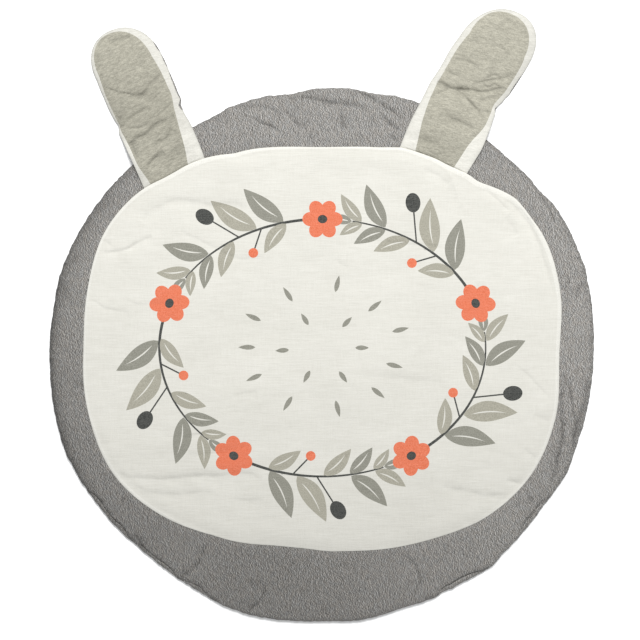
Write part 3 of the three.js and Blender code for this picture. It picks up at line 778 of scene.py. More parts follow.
# The round


def rolled_share(theta):
    """How far the rim is rolled up, unevenly along each rolled stretch."""
    mean, spread, most = ROLLED_SHARE
    uneven = np.clip(mean + spread * ring_noise(theta, 0, 0.040, 1, 47.0), 0, most)
    return uneven * sum(in_stretch(theta, stretch, ROLLED_FADE) for stretch in ROLLED_STRETCHES)


def rim_rows(theta):
    """The rim's section at each angle as rows of insets and heights, rounded through the named rows."""
    rolled = rolled_share(theta)
    table = np.array(RIM_SECTION)
    insets = lerp(table[:, 0, None], table[:, 2, None], rolled)
    heights = lerp(table[:, 1, None], table[:, 3, None], rolled)
    rows = []
    last = len(RIM_SECTION) - 1
    for i in range(last):
        for share in SEAM_STEPS if SEAM_ROW - 2 <= i <= SEAM_ROW + 1 else OTHER_STEPS:
            near = [min(max(i + shift, 0), last) for shift in (-1, 0, 1, 2)]
            row = [cubic(*(values[k] for k in near), share) for values in (insets, heights)]
            rows.append((row[0], np.maximum(row[1], 0)))
    rows.append((insets[last], heights[last]))
    return rows


def ring_relief(x, y, theta, to_rim):
    """Creases, wrinkles and rim gathers of the grey ring."""
    wrinkles = wrinkle_sum(RING_WRINKLES, lambda *field: ring_noise(theta, np.hypot(x, y), *field))
    gathers = seam_puckers(theta, np.maximum(0, to_rim), *RIM_GATHERS)
    return wrinkles + gathers - crease_depth(RING_CREASES, x, y)


# Painted shade of the ring: in its creases, a tone by angle for how the light falls round it, and more where
# it turns down at the rim
def ring_painted_shade(x, y, theta, to_rim):
    angles = [row[0] for row in RING_PAINTED_SHADE]
    whole, rim, reach = (
        np.interp(np.degrees(theta) % 360, angles, [row[k] for row in RING_PAINTED_SHADE])
        for k in (1, 2, 3)
    )
    return crease_painted_shade(RING_CREASES, x, y) + whole + rim * np.exp(-to_rim / reach)


def build_round(materials):
    theta = np.arange(TURNS) * 2 * math.pi / TURNS
    panel = radius_at(PANEL_OUTLINE, theta)
    bumps = wrinkle_sum(RIM_BUMPS, lambda *field: ring_noise(theta, 0, *field))
    rim = radius_at(RIM_OUTLINE, theta) + bumps + STAND_OUT
    rows = []
    shades = []

    def add_row(radius, height, shade=0.0):
        rows.append(np.stack([*around(radius, theta), height], axis=1))
        shades.append(np.broadcast_to(shade, theta.shape))

    # hidden under the panel
    hidden_rows = [panel * share for share in HIDDEN_SHARES]
    hidden_rows += [panel - inset for inset in HIDDEN_INSETS]
    for radius in hidden_rows:
        add_row(radius, body_height(*around(radius, theta)) - HIDDEN_DROP)
    # the ring's top, from the sewn trough to the crown of the rim
    crown_inset = lerp(RIM_SECTION[0][0], RIM_SECTION[0][2], rolled_share(theta))
    ring_rows = [panel + outset for outset in TROUGH_ROWS]
    shares = [i / RING_ROWS for i in range(1, RING_ROWS)]
    ring_rows += [lerp(panel + TROUGH_ROWS[-1], rim - crown_inset, share) for share in shares]
    for radius in ring_rows:
        x, y = around(radius, theta)
        out = radius - panel
        step = (CLEAR + SHEET - SEAM_STEP) * (1 - swell(out / RING_RISE))
        relief = ring_relief(x, y, theta, rim - radius) * smooth(out / 0.005)
        lowered = pocket_depth(x, y) > CLEAR
        shade = ring_painted_shade(x, y, theta, rim - radius)
        add_row(radius, body_height(x, y) + np.where(lowered, 0, step) + relief, shade)
    # the rim
    for inset, height in rim_rows(theta):
        radius = rim - inset
        x, y = around(radius, theta)
        share = (height / RING_CROWN) ** 3
        relief = ring_relief(x, y, theta, inset) + body_height(x, y) - RING_CROWN
        add_row(radius, np.maximum(height + relief * share, 0), ring_painted_shade(x, y, theta, inset))
    # the underside, flat on the floor but for faint wrinkles
    for share in np.linspace(*UNDER_SHARES, UNDER_ROWS):
        radius = (rim - RIM_SECTION[-1][0]) * share
        x, y = around(radius, theta)
        faint = UNDER_WRINKLE * noise_field(x, y, 0.07, 51.0, across=0.03, turn=0.6)
        add_row(radius, np.maximum(0, faint) * smooth((1 - share) / 0.06))
    count = len(rows)
    points = np.concatenate(rows + [[[0, 0, float(body_height(0.0, 0.0)) - HIDDEN_DROP], [0, 0, 0]]])
    top, bottom = count * TURNS, count * TURNS + 1
    faces = []
    for i in range(TURNS):
        j = (i + 1) % TURNS
        faces.append((top, i, j))
        for k in range(count - 1):
            a, b = k * TURNS, (k + 1) * TURNS
            faces.append((a + i, b + i, b + j, a + j))
        faces.append((bottom, (count - 1) * TURNS + j, (count - 1) * TURNS + i))
    piece = mesh_object("mat_round", points.tolist(), faces, materials)
    set_painted_shade(piece, np.concatenate(shades + [[0, 0]]))
    return piece


# Cloth cut to an outline, with printed shapes


def resample(points, spacing, closed=True):
    """The points of an outline, or of an open line, evenly spaced."""
    line = np.vstack([points, points[:1]]) if closed else points
    run = np.concatenate([[0], np.cumsum(np.hypot(*np.diff(line, axis=0).T))])
    places = np.linspace(0, run[-1], max(8, int(run[-1] / spacing)), endpoint=False)
    return np.stack([np.interp(places, run, line[:, axis]) for axis in (0, 1)], axis=1)


def inward_normals(outline):
    """Unit normals to a counter-clockwise outline, pointing in."""
    run = np.roll(outline, -1, axis=0) - np.roll(outline, 1, axis=0)
    normal = np.stack([-run[:, 1], run[:, 0]], axis=1)
    return normal / np.hypot(*normal.T)[:, None]


def point_tree(points):
    tree = KDTree(len(points))
    for i, (x, y) in enumerate(points):
        tree.insert((x, y, 0), i)
    tree.balance()
    return tree


def distance_to(tree, points):
    return np.array([tree.find((x, y, 0))[2] for x, y in points])


def is_inside(outline, points):
    """Which points lie inside a closed outline, by the crossings of a line to the right."""
    inside = np.zeros(len(points), bool)
    px, py = points[:, 0], points[:, 1]
    for (x0, y0), (x1, y1) in zip(outline, np.roll(outline, -1, axis=0)):
        if y0 == y1:
            continue
        crosses = (y0 > py) != (y1 > py)
        inside ^= crosses & (px < x0 + (py - y0) * (x1 - x0) / (y1 - y0))
    return inside


def grid_points(low, high, cell):
    """Staggered rows of points over a box."""
    rows = np.arange(low[1], high[1], cell * math.sqrt(3) / 2)
    across = np.arange(low[0], high[0], cell)
    return np.concatenate([
        np.stack([across + (k % 2) * cell / 2, np.full(len(across), y)], axis=1)
        for k, y in enumerate(rows)
    ])


def plan_mesh(outline, cell, insets, shapes, fine_lines=None):
    """Triangles that fill an outline seen from above, smaller beside the fine lines. They keep to every
    shape's edge, and each names the last shape that holds it, or -1. The outline's own points come first."""
    loops = [outline] + [outline + inset * inward_normals(outline) for inset in insets]
    shape_points = [polygon for polygon, _ in shapes]
    low, high = outline.min(axis=0), outline.max(axis=0)
    grid = grid_points(low, high, cell)
    if fine_lines is not None:
        line_tree = point_tree(fine_lines)
        fine = grid_points(low, high, FINE_CELL)
        grid = np.concatenate([
            grid[distance_to(line_tree, grid) > FINE_REACH],
            fine[distance_to(line_tree, fine) <= FINE_REACH],
        ])
    grid = grid[is_inside(outline, grid)]
    margin = insets[-1] + 0.6 * cell
    grid = grid[distance_to(point_tree(outline), grid) > margin]
    free = np.concatenate(loops[1:] + [grid])
    if shapes:
        free = free[distance_to(point_tree(np.concatenate(shape_points)), free) > 0.45 * cell]
    points = [Vector(p) for p in outline] + [Vector(p) for p in free]
    faces = [list(range(len(outline)))]
    for polygon in shape_points:
        faces.append(list(range(len(points), len(points) + len(polygon))))
        points += [Vector(p) for p in polygon]
    result = delaunay_2d_cdt(points, [], faces, 1, 1e-7)
    kept = [(t, max(holder) - 1) for t, holder in zip(result[2], result[5]) if 0 in holder]
    used = sorted({k for triangle, _ in kept for k in triangle})
    order = {k: i for i, k in enumerate(used)}
    rim_place = {original: k for k, source in enumerate(result[3]) for original in source}
    rim = [order[rim_place[i]] for i in range(len(outline))]
    triangles = [tuple(order[k] for k in triangle) for triangle, _ in kept]
    return np.array(result[0])[used], triangles, rim, [ink for _, ink in kept]


def layered_piece(name, outline, cells, insets, shapes, top, under, top_painted_shade, materials,
                  under_material=0, edge_ink="bare", fine_lines=None):
    """A closed piece with a printed top layer, an underside and a narrow side wall."""
    plan, triangles, rim, inks = plan_mesh(outline, cells[0], insets, shapes, fine_lines)
    plan_under, triangles_under, rim_under, _ = plan_mesh(outline, cells[1], insets[:1], [])
    upper = np.column_stack([plan, top(plan[:, 0], plan[:, 1])])
    lower = np.column_stack([plan_under, under(plan_under[:, 0], plan_under[:, 1])])
    shift = len(upper)
    faces = list(triangles)
    faces += [tuple(shift + k for k in reversed(t)) for t in triangles_under]
    for i in range(len(rim)):
        j = (i + 1) % len(rim)
        faces.append((rim[j], rim[i], shift + rim_under[i], shift + rim_under[j]))
    piece = mesh_object(name, np.concatenate([upper, lower]).tolist(), faces, materials)
    set_painted_shade(piece, np.concatenate([top_painted_shade(plan[:, 0], plan[:, 1]), np.zeros(len(lower))]))
    names = [shapes[k][1] if k >= 0 else edge_ink for k in inks]
    colours = np.array([INKS.get(ink, INKS["bare"]) for ink in names], np.float32)
    corners = np.tile(np.array(INKS["bare"], np.float32), (len(piece.data.loops), 1))
    corners[: 3 * len(triangles)] = np.repeat(colours, 3, axis=0)
    ink = piece.data.attributes.new("ink", "FLOAT_COLOR", "CORNER")
    ink.data.foreach_set("color", corners.ravel())
    slots = [1 if name == JERSEY else 0 for name in names]
    slots += [under_material] * (len(triangles_under) + len(rim))
    piece.data.polygons.foreach_set("material_index", slots)
    return piece


# Printed shapes, each a counter-clockwise outline


def turned(points, turn, place):
    c, s = math.cos(turn), math.sin(turn)
    x, y = np.asarray(points).T
    return np.stack([x * c - y * s, x * s + y * c], axis=1) + place


def leaf(base, turn, length, width, bend=0.0, steps=16):
    """A pointed leaf, widest below its middle, with a curved middle line."""
    share = np.linspace(0, 1, steps)
    half = width / 2 * np.sin(np.pi * share ** 0.82) ** 0.9
    bow = bend * 4 * share * (1 - share)
    right = np.stack([share * length, bow - half], axis=1)
    left = np.stack([share * length, bow + half], axis=1)
    return turned(np.concatenate([right, left[-2:0:-1]]), turn, base)


def oval(centre, turn, length, width, steps=24):
    angle = np.arange(steps) * 2 * math.pi / steps
    return turned(np.stack([np.cos(angle) * length / 2, np.sin(angle) * width / 2], axis=1), turn, centre)


def ribbon(points, widths):
    """A narrow band along a line of points."""
    points = np.asarray(points)
    run = np.gradient(points, axis=0)
    normal = np.stack([-run[:, 1], run[:, 0]], axis=1) / np.hypot(*run.T)[:, None]
    half = np.asarray(widths)[:, None] / 2
    return np.concatenate([points - normal * half, (points + normal * half)[::-1]])


def wreath_run(angles):
    """Distance along the wreath to each angle."""
    speeds = np.hypot(WREATH_SIZE[0] * np.sin(angles[:-1]), WREATH_SIZE[1] * np.cos(angles[:-1]))
    return np.concatenate([[0], np.cumsum(speeds * np.diff(angles))])


WREATH_ANGLES = np.linspace(0, 2 * math.pi, 3601)
WREATH_RUN = wreath_run(WREATH_ANGLES)


def wreath_place(run):
    """The place, and the direction of the stem, at a distance along the wreath from its right end."""
    angle = np.interp(run % WREATH_RUN[-1], WREATH_RUN, WREATH_ANGLES)
    place = WREATH_CENTRE + WREATH_SIZE * pointing(angle)
    return place, math.atan2(WREATH_SIZE[1] * math.cos(angle), -WREATH_SIZE[0] * math.sin(angle))


def printed_leaf(base, turn, length, width, bend, ink):
    shapes = [(leaf(base, turn, length, width, bend), ink)]
    vein_start, vein_length, vein_width = VEIN
    vein_base = base + vein_start * length * pointing(turn)
    shapes.append((leaf(vein_base, turn, vein_length * length, vein_width, bend * 0.8, steps=10), "bare"))
    return shapes


def blossom(centre, turn):
    def part(place, angle, size):
        return oval(place, angle, size[0] * BLOSSOM, size[1] * BLOSSOM)

    shapes = []
    for k in range(PETALS):
        angle = turn + 2 * math.pi * k / PETALS
        place = centre + PETAL_REACH * BLOSSOM * pointing(angle)
        shapes.append((part(place, angle, PETAL), "coral"))
    shapes.append((part(centre, turn, BLOSSOM_MIDDLE), "coral"))
    shapes.append((part(centre, turn, BLOSSOM_EYE), "charcoal"))
    return shapes


def sprig(start):
    """A stem along the wreath with leaves and stalked berries on both its sides."""
    runs = np.linspace(*STEM, 24)
    stem = np.array([wreath_place(start + run)[0] for run in runs])
    shapes = [(ribbon(stem, np.linspace(*STEM_WIDTHS, len(runs))), "charcoal")]
    for run, side, length, width, angle, ink in LEAVES:
        place, turn = wreath_place(start + run)
        turn += side * math.radians(angle)
        base = place + 0.003 * pointing(turn)
        shapes += printed_leaf(base, turn, length, width, side * LEAF_BOW * length, ink)
    for run, side, length, angle, berry_length, berry_width, ink in STALKS:
        place, turn = wreath_place(start + run)
        turn += side * math.radians(angle)
        reach = pointing(turn)
        stalk = np.array([place + reach * step for step in np.linspace(0, length, 6)])
        shapes.append((ribbon(stalk, [STALK_WIDTH] * len(stalk)), "charcoal"))
        end = place + reach * (length + 0.4 * berry_length)
        shapes.append((oval(end, turn, berry_length, berry_width), ink))
    return shapes


def sprinkles():
    """Short dashes that point out from the wreath's middle, in two uneven rings."""
    shapes = []
    for ring, (count, reach, length) in enumerate(DASH_RINGS):
        for k in range(count):
            angle = 2 * math.pi * (k + 0.5 * ring + 0.12 * math.sin(5 * k)) / count
            reach_here = reach * (1 + 0.07 * math.sin(3 * k + ring))
            away = reach_here * WREATH_SIZE * pointing(angle)
            turn = math.atan2(away[1], away[0])
            shapes.append((leaf(WREATH_CENTRE + away, turn, length, DASH_WIDTH, steps=9), "taupe"))
    return shapes


def panel_print():
    """Sprigs round the wreath, each from a blossom to just under the next one, and the dashes inside it."""
    starts = [(k + 0.25) * WREATH_RUN[-1] / SPRIGS for k in range(SPRIGS)]
    shapes = sprinkles()
    for start in starts:
        shapes += sprig(start)
    for start in starts:
        shapes += blossom(*wreath_place(start))
    return shapes


def build_panel(materials):
    theta = np.linspace(0, 2 * math.pi, 2000, endpoint=False)
    radius = radius_at(PANEL_OUTLINE, theta)
    outline = resample(np.stack(around(radius, theta), axis=1), PANEL_EDGE_CELL)

    def under(x, y):
        return pad_height(x, y) + CLEAR + np.minimum(0, panel_relief(x, y))

    # Painted shade in the bottoms of the panel's creases, at half strength
    def shade(x, y):
        return 0.5 * crease_painted_shade(PANEL_CREASES, x, y)

    widths = allowance_width(np.arctan2(outline[:, 1], outline[:, 0]))
    single_cloth = outline + widths[:, None] * inward_normals(outline)
    fine_lines = np.concatenate([smooth_line(crease[0]) for crease in PANEL_CREASES])
    return layered_piece("panel_cloth", outline, (PANEL_CELL, UNDER_CELL), PANEL_INSETS,
                         [(single_cloth, "bare")] + panel_print(), panel_top, under, shade, materials,
                         edge_ink="allowance", fine_lines=fine_lines)


# The ears


def section_value(rows, column, along):
    """A smooth curve through one column of an ear's sections."""
    stations = np.array([row[0] for row in rows])
    values = np.array([row[column] for row in rows])
    row = np.clip(np.searchsorted(stations, along, side="right") - 1, 0, len(rows) - 2)
    share = np.clip((along - stations[row]) / (stations[row + 1] - stations[row]), 0, 1)
    near = [values[np.clip(row + shift, 0, len(rows) - 1)] for shift in (-1, 0, 1, 2)]
    return cubic(*near, share)


def ear_frame(ear):
    lean = math.radians(ear["lean"])
    forward = np.array([math.sin(lean), math.cos(lean)])
    right = np.array([math.cos(lean), -math.sin(lean)])
    return np.array(ear["root"]), forward, right


def ear_side(ear, columns, start, round_from, tip):
    """Points up one side of an ear or of its print, round the tip and down the other, right side first."""
    straight = np.linspace(0, 1, 60)
    bow = np.linspace(0, math.pi / 2, 40)[1:]
    half_turn = []
    for side, column in ((1, columns[1]), (-1, columns[0])):
        along = lerp(start[0 if side < 0 else 1], round_from, straight)
        across = section_value(ear["sections"], column, along)
        edge = section_value(ear["sections"], column, np.array([round_from]))[0]
        past = np.sin(bow)
        narrowing = (1 - past ** TIP_POWER) ** (1 / TIP_POWER)
        other = section_value(ear["sections"], columns[0 if side > 0 else 1], np.array([round_from]))[0]
        middle = lerp((edge + other) / 2, tip[1], past)
        along = np.concatenate([along, lerp(round_from, tip[0], past)])
        across = np.concatenate([across, middle + side * abs(edge - other) / 2 * narrowing])
        half_turn.append(np.stack([along, across], axis=1))
    return np.concatenate([half_turn[0], half_turn[1][-2::-1]])


def to_floor_plan(ear, local):
    root, forward, right = ear_frame(ear)
    return root + local[:, :1] * forward + local[:, 1:] * right


def tucked_along(ear, across):
    """Where a line beside the ear's middle meets the tucked edge under the panel."""
    root, forward, right = ear_frame(ear)
    low, high = -0.08, 0.08
    for _ in range(30):
        middle = (low + high) / 2
        x, y = root + middle * forward + across * right
        inside = math.hypot(x, y) < radius_at(PANEL_OUTLINE, np.array([math.atan2(y, x)]))[0] - EAR_TUCK
        low, high = (middle, high) if inside else (low, middle)
    return low


def ear_outline(ear):
    sections = ear["sections"]
    right, left = sections[1][2], sections[1][1]
    start = (tucked_along(ear, left), tucked_along(ear, right))
    local = ear_side(ear, (1, 2), start, ear["round_from"], ear["tip"])
    root_edge = [(tucked_along(ear, across), across) for across in np.linspace(left, right, 40)[1:-1]]
    return to_floor_plan(ear, local), to_floor_plan(ear, np.array(root_edge))


def ear_underside(x, y):
    """Close above the ring, clear of the rim, then down to the floor."""
    theta = np.arctan2(y, x)
    radius = np.hypot(x, y)
    panel = radius_at(PANEL_OUTLINE, theta)
    shoulder = radius_at(RIM_OUTLINE, theta) - RIM_SECTION[0][0]
    outward = smooth((radius - panel - RING_RISE) / (shoulder - panel - RING_RISE))
    on_ring = body_height(x, y) + lerp(EAR_LIFT, RIM_LIFT, outward)
    at_shoulder = body_height(*around(shoulder, theta)) + RIM_LIFT
    bending = at_shoulder * (1 - smooth((radius - shoulder) / DRAPE_LENGTH))
    return np.where(radius < shoulder, on_ring, bending)


def build_ear(ear, materials):
    sides, root_edge = ear_outline(ear)
    outline = resample(np.concatenate([sides, root_edge]), EAR_CELL)
    seam_tree = point_tree(resample(sides, 0.0004, closed=False))
    taupe = ear_side(ear, (3, 4), ear["print_from"], ear["print_round_from"], ear["print_tip"])
    shapes = [(resample(to_floor_plan(ear, taupe), EAR_CELL), "pale_taupe")]
    for start, end, width in ear["peeks"]:
        along = np.linspace(start, end, PEEK_STEPS)
        right = section_value(ear["sections"], 2, along)
        inner = right - width * np.sin(np.linspace(0, math.pi, PEEK_STEPS)) ** 0.5
        outer = np.stack([along, right + PEEK_OVERLAP], axis=1)
        band = np.concatenate([np.stack([along, inner], axis=1)[::-1], outer])
        shapes.append((resample(to_floor_plan(ear, band), EAR_CELL), JERSEY))
    seed = 60.0 + ear["wrinkle_turn"]
    root, ahead, _ = ear_frame(ear)
    calm_start, calm_end = ear["calm_from"]
    turn = math.radians(ear["wrinkle_turn"])

    def seam_height(out):
        return lerp(EAR_ROOT_FILL / 2, EAR_SEAM, smooth((out - SEWN_END) / EAR_SWELL))

    def calm(x, y):
        forward = (x - root[0]) * ahead[0] + (y - root[1]) * ahead[1]
        return lerp(1, CALM_SHARE, smooth((forward - calm_start) / (calm_end - calm_start)))

    def top(x, y):
        away = distance_to(seam_tree, np.stack([x, y], axis=1))
        out = past_panel(x, y)
        sewn = lerp(EAR_ROOT_FILL, EAR_SEWN_FILL, smooth((out + 0.001) / 0.003))
        fill = lerp(sewn, EAR_FILL, smooth((out - SEWN_END) / EAR_SWELL))
        seam = seam_height(out)
        full = swell(away / EAR_ROLL)
        grown = smooth(out / EAR_GROWN)
        wrinkles = wrinkle_sum(EAR_WRINKLES, lambda length, across, more, lean: noise_field(
            x, y, length, seed + more, across, turn + lean))
        wrinkles *= calm(x, y)
        height, length, more, reach = EAR_PUCKERS
        puckers = height * noise_field(x, y, length, seed + more) * np.exp(-away / reach)
        puckers *= smooth(away / 0.002)
        relief = (wrinkles - crease_depth(ear["creases"], x, y)) * full * grown + puckers * grown
        return ear_underside(x, y) + seam + EAR_EDGE / 2 + (fill - seam - EAR_EDGE / 2) * full + relief

    # Painted shade in the ear's creases and along its side seam
    def shade(x, y):
        away = distance_to(seam_tree, np.stack([x, y], axis=1))
        return crease_painted_shade(ear["creases"], x, y) + EAR_EDGE_PAINTED_SHADE * np.exp(-away / EAR_EDGE_PAINTED_SHADE_WIDTH)

    def under(x, y):
        away = distance_to(seam_tree, np.stack([x, y], axis=1))
        seam = seam_height(past_panel(x, y)) - EAR_EDGE / 2
        return ear_underside(x, y) + np.maximum(0, seam) * (1 - swell(away / EAR_UNDER_ROLL))

    return layered_piece(ear["node"] + "_flap", outline, (EAR_CELL, 2 * EAR_CELL), EAR_INSETS, shapes,
                         top, under, shade, materials, under_material=1)


# Materials


def add_node(tree, kind, values=None, **settings):
    made = tree.nodes.new(kind)
    for key, value in settings.items():
        setattr(made, key, value)
    for key, value in (values or {}).items():
        if isinstance(value, bpy.types.NodeSocket):
            tree.links.new(value, made.inputs[key])
        else:
            made.inputs[key].default_value = value
    return made


def stretched_noise(tree, size, detail=2.0, roughness=0.5, distortion=0.0, offset=0.0, lean=0.0, aside=0.0):
    """Noise in the object's own metres, with features of the given size along x, y and z. It leans by some
    degrees, and may be moved aside by some metres."""
    place = tree.nodes.get("place") or add_node(tree, "ShaderNodeTexCoord", name="place")
    turned_place = place.outputs["Object"]
    if lean:
        turned_place = add_node(tree, "ShaderNodeMapping", {
            "Vector": turned_place,
            "Rotation": (0, 0, -math.radians(lean)),
        }).outputs["Vector"]
    mapping = add_node(tree, "ShaderNodeMapping", {
        "Vector": turned_place,
        "Location": (offset + aside / size[0], offset, offset),
        "Scale": tuple(1 / s for s in size),
    })
    made = add_node(tree, "ShaderNodeTexNoise", {
        "Vector": mapping.outputs["Vector"],
        "Scale": 1.0,
        "Detail": detail,
        "Roughness": roughness,
        "Distortion": distortion,
    })
    return made.outputs["Fac"]


def math_node(tree, operation, a, b):
    made = add_node(tree, "ShaderNodeMath", {0: a, 1: b}, operation=operation)
    return made.outputs[0]


def weighted_sum(tree, *parts):
    """The sum of (socket, weight) pairs."""
    total = None
    for socket, weight in parts:
        part = math_node(tree, "MULTIPLY", socket, weight)
        total = part if total is None else math_node(tree, "ADD", total, part)
    return total


def mix_colour(tree, factor, a, b, blend="MIX"):
    made = add_node(tree, "ShaderNodeMix", {0: factor, 6: a, 7: b}, data_type="RGBA", blend_type=blend)
    return made.outputs[2]


def multiplied(tree, a, b):
    return mix_colour(tree, 1.0, a, b, "MULTIPLY")


def place_axes(tree):
    return add_node(tree, "ShaderNodeSeparateXYZ", {"Vector": tree.nodes["place"].outputs["Object"]}).outputs


def ramp(tree, factor, stops):
    """A colour ramp through (place, colour) stops."""
    made = add_node(tree, "ShaderNodeValToRGB", {"Fac": factor})
    elements = made.color_ramp.elements
    elements.remove(elements[1])
    for k, (place, colour) in enumerate(stops):
        element = elements.new(place) if k else elements[0]
        element.position = place
        element.color = (*colour, 1.0)
    return made.outputs["Color"]


def tone_ramp(tree, factor, *stops):
    """A ramp through (place, brightness) stops."""
    return ramp(tree, factor, [(place, (tone, tone, tone)) for place, tone in stops])


def cloth_material(name, roughness, sheen):
    material = bpy.data.materials.new(name)
    material.use_nodes = True
    shader = material.node_tree.nodes["Principled BSDF"]
    shader.inputs["Roughness"].default_value = roughness
    shader.inputs["Specular IOR Level"].default_value = 0.25
    shader.inputs["Sheen Weight"].default_value = sheen
    shader.inputs["Sheen Roughness"].default_value = 0.5
    return material, material.node_tree, shader


def with_painted_shade(tree, colour, least):
    """A colour made darker by the mesh's painted shade, to the given share of it where that is 1."""
    shade = add_node(tree, "ShaderNodeAttribute", attribute_name="shade")
    share = math_node(tree, "SUBTRACT", 1.0, math_node(tree, "MULTIPLY", shade.outputs["Fac"], 1 - least))
    share = math_node(tree, "MAXIMUM", share, 0.7 * least)
    grey = add_node(tree, "ShaderNodeCombineColor", {"Red": share, "Green": share, "Blue": share})
    return multiplied(tree, colour, grey.outputs["Color"])


def set_bump(tree, shader, height, distance):
    bump = add_node(tree, "ShaderNodeBump", {"Height": height, "Strength": 1.0, "Distance": distance})
    tree.links.new(bump.outputs["Normal"], shader.inputs["Normal"])


def jersey_material():
    """Brushed heather jersey: short leaning streaks, each with a painted shadow along one side, and painted
    shade that makes it darker to the lower left, away from the light.
    """
    material, tree, shader = cloth_material("heather_jersey", 0.95, 0.05)
    streaks = stretched_noise(tree, STREAK, 1.0, lean=STREAK_LEAN)
    streak_painted_shadows = stretched_noise(tree, STREAK, 1.0, lean=STREAK_LEAN, aside=STREAK_PAINTED_SHADOW)
    tufts = stretched_noise(tree, (0.0050, 0.0075, 0.0050), 1.0, offset=3.3, lean=18)
    fibres = stretched_noise(tree, (0.0014, 0.0022, 0.0014), 1.0, offset=9.1, lean=STREAK_LEAN)
    clouds = stretched_noise(tree, (0.070, 0.110, 0.070), 1.0, 0.5, 0.4, offset=1.7)
    tint = stretched_noise(tree, (0.004, 0.007, 0.004), 1.0, 0.5, offset=6.4)
    heather = weighted_sum(tree, (streaks, 0.42), (streak_painted_shadows, -0.42), (tufts, 0.10), (fibres, 0.15))
    heather = math_node(tree, "ADD", heather, 0.372)
    colour = ramp(tree, heather, HEATHER)
    axes = place_axes(tree)
    # Painted shade, darker towards the lower left where less light falls, mixed with broad random clouds of
    # tone
    across = weighted_sum(tree, (axes["X"], 0.16), (axes["Y"], 0.39), (clouds, 0.08))
    shade = tone_ramp(tree, math_node(tree, "ADD", across, 0.46), (0.20, 0.61), (0.80, 1.15))
    warmth = ramp(tree, tint, HEATHER_WARMTH)
    colour = multiplied(tree, multiplied(tree, colour, shade), warmth)
    tree.links.new(with_painted_shade(tree, colour, JERSEY_DARKEST), shader.inputs["Base Color"])
    set_bump(tree, shader, heather, JERSEY_BUMP)
    return material


def painted_light_along_y(tree, colour, stops):
    """A colour with painted light and shade at places along y."""
    along = math_node(tree, "ADD", place_axes(tree)["Y"], 0.5)
    return multiplied(tree, colour, tone_ramp(tree, along, *((y + 0.5, tone) for y, tone in stops)))


def cotton_material(name, crush, cloth_painted_light, ink_painted_light, ripple_lean=None):
    """Off-white plain-weave cotton with slubs both ways, and fine crumples of the given height in metres.
    Painted light and shade on its cloth and on its ink are given at places along y, and the mesh's painted
    shade darkens it. The print comes from the mesh. Crushed cotton has thin ripples too, which lean by some
    degrees and carry painted light and shade."""
    material, tree, shader = cloth_material(name, 0.9, 0.03)
    weft = stretched_noise(tree, (0.030, 0.0013, 0.01), 2.0, 0.6)
    warp = stretched_noise(tree, (0.0013, 0.024, 0.01), 2.0, 0.6, offset=4.4)
    grain = stretched_noise(tree, (0.0016, 0.0016, 0.0016), 2.0, 0.6, offset=8.2)
    clouds = stretched_noise(tree, (0.09, 0.07, 0.09), 2.0, 0.5, offset=2.6)
    weave = weighted_sum(tree, (weft, 0.5), (warp, 0.3), (grain, 0.2))
    white = ramp(tree, weave, COTTON)
    white = multiplied(tree, white, ramp(tree, clouds, COTTON_CLOUDS))
    white = painted_light_along_y(tree, white, cloth_painted_light)
    ink = add_node(tree, "ShaderNodeAttribute", attribute_name="ink")
    worn = weighted_sum(tree, (weave, 0.22), (grain, 0.22))
    coverage = math_node(tree, "MINIMUM", math_node(tree, "SUBTRACT", 1.16, worn), 1.0)
    coverage = math_node(tree, "MULTIPLY", ink.outputs["Alpha"], coverage)
    mottled = tone_ramp(tree, grain, (0.35, 0.86), (0.65, 1.12))
    taken = painted_light_along_y(tree, multiplied(tree, ink.outputs["Color"], mottled), ink_painted_light)
    colour = with_painted_shade(tree, mix_colour(tree, coverage, white, taken), COTTON_DARKEST)
    crumples = stretched_noise(tree, (0.011, 0.007, 0.01), 3.0, 0.6, 0.8, offset=5.7)
    valleys = math_node(tree, "ABSOLUTE", math_node(tree, "SUBTRACT", crumples, 0.5), 0)
    valleys = math_node(tree, "MINIMUM", valleys, VALLEY)
    height = weighted_sum(tree, (weave, WEAVE_HEIGHT), (valleys, crush / VALLEY), (crumples, crush))
    if ripple_lean is not None:
        shown = math_node(tree, "MULTIPLY", ink.outputs["Alpha"], 1 - RIPPLES_ON_WHITE)
        shown = math_node(tree, "ADD", shown, RIPPLES_ON_WHITE)
        for k, size in enumerate(RIPPLES):
            # Each set of ripples carries painted light and shade in the colour, and a bump
            waves = stretched_noise(tree, size, 1.0, 0.5, 0.9, offset=7.3 + k, lean=ripple_lean - 14 * k)
            colour = mix_colour(tree, shown, colour, tone_ramp(tree, waves, *RIPPLE_PAINTED_LIGHT_AND_SHADE), "MULTIPLY")
            waves = math_node(tree, "MULTIPLY", math_node(tree, "SUBTRACT", waves, 0.5), shown)
            height = weighted_sum(tree, (height, 1.0), (waves, RIPPLE_HEIGHT))
    tree.links.new(colour, shader.inputs["Base Color"])
    set_bump(tree, shader, height, 1.0)
    return material


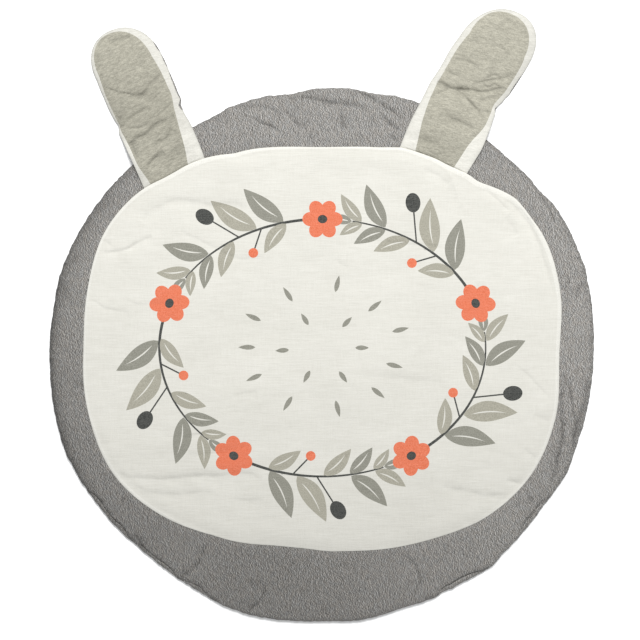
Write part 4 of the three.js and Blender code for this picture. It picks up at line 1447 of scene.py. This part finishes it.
def floor_material():
    material, tree, shader = cloth_material("pale_floor", 0.8, 0.0)
    shader.inputs["Emission Color"].default_value = (1.0, 1.0, 1.0, 1.0)
    shader.inputs["Emission Strength"].default_value = FLOOR_GLOW
    clouds = stretched_noise(tree, (0.6, 0.6, 0.6), 2.0, 0.5)
    tree.links.new(tone_ramp(tree, clouds, (0.3, 0.965), (0.7, 0.985)), shader.inputs["Base Color"])
    return material


# Stage


def build_floor():
    corners = [(x * FLOOR_HALF, y * FLOOR_HALF, -CLEAR) for x, y in ((-1, -1), (1, -1), (1, 1), (-1, 1))]
    mesh_object("floor", corners, [(0, 1, 2, 3)], [floor_material()])


def build_lights():
    light = bpy.data.lights.new("key", "AREA")
    light.shape = "DISK"
    light.size = KEY_SIZE
    light.energy = KEY_POWER
    lamp = bpy.data.objects.new("key", light)
    lamp.location = KEY_PLACE
    lamp.rotation_euler = (Vector(KEY_TARGET) - Vector(KEY_PLACE)).to_track_quat("-Z", "Y").to_euler()
    bpy.context.scene.collection.objects.link(lamp)
    world = bpy.data.worlds.new("studio")
    world.use_nodes = True
    sky = world.node_tree.nodes["Background"].inputs
    sky["Color"].default_value = SKY_COLOUR
    sky["Strength"].default_value = SKY_STRENGTH
    bpy.context.scene.world = world
    bpy.context.scene.view_settings.view_transform = "Standard"


def build_camera():
    camera = bpy.data.objects.new("camera", bpy.data.cameras.new("camera"))
    camera.location = (*VIEW_CENTRE, CAMERA_HEIGHT)
    camera.data.sensor_width = SENSOR
    camera.data.lens = SENSOR * CAMERA_HEIGHT / VIEW_WIDTH
    bpy.context.scene.collection.objects.link(camera)
    bpy.context.scene.camera = camera


build_camera()
build_lights()
build_floor()

jersey = jersey_material()
cotton = cotton_material("printed_cotton", PANEL_CRUSH, PANEL_PAINTED_LIGHT, PANEL_INK_PAINTED_LIGHT)

mat_round = build_round([jersey])
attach(mat_round, "root")
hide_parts("mat_body")

panel = build_panel([cotton])
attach(panel, "root")
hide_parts("top_panel")

for ear in EARS:
    crushed = cotton_material(ear["node"] + "_cotton", ear["crush"], ear["cloth_painted_light"], ear["ink_painted_light"],
                              ear["wrinkle_turn"])
    flap = build_ear(ear, [crushed, jersey])
    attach(flap, "root")
    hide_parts(ear["node"])
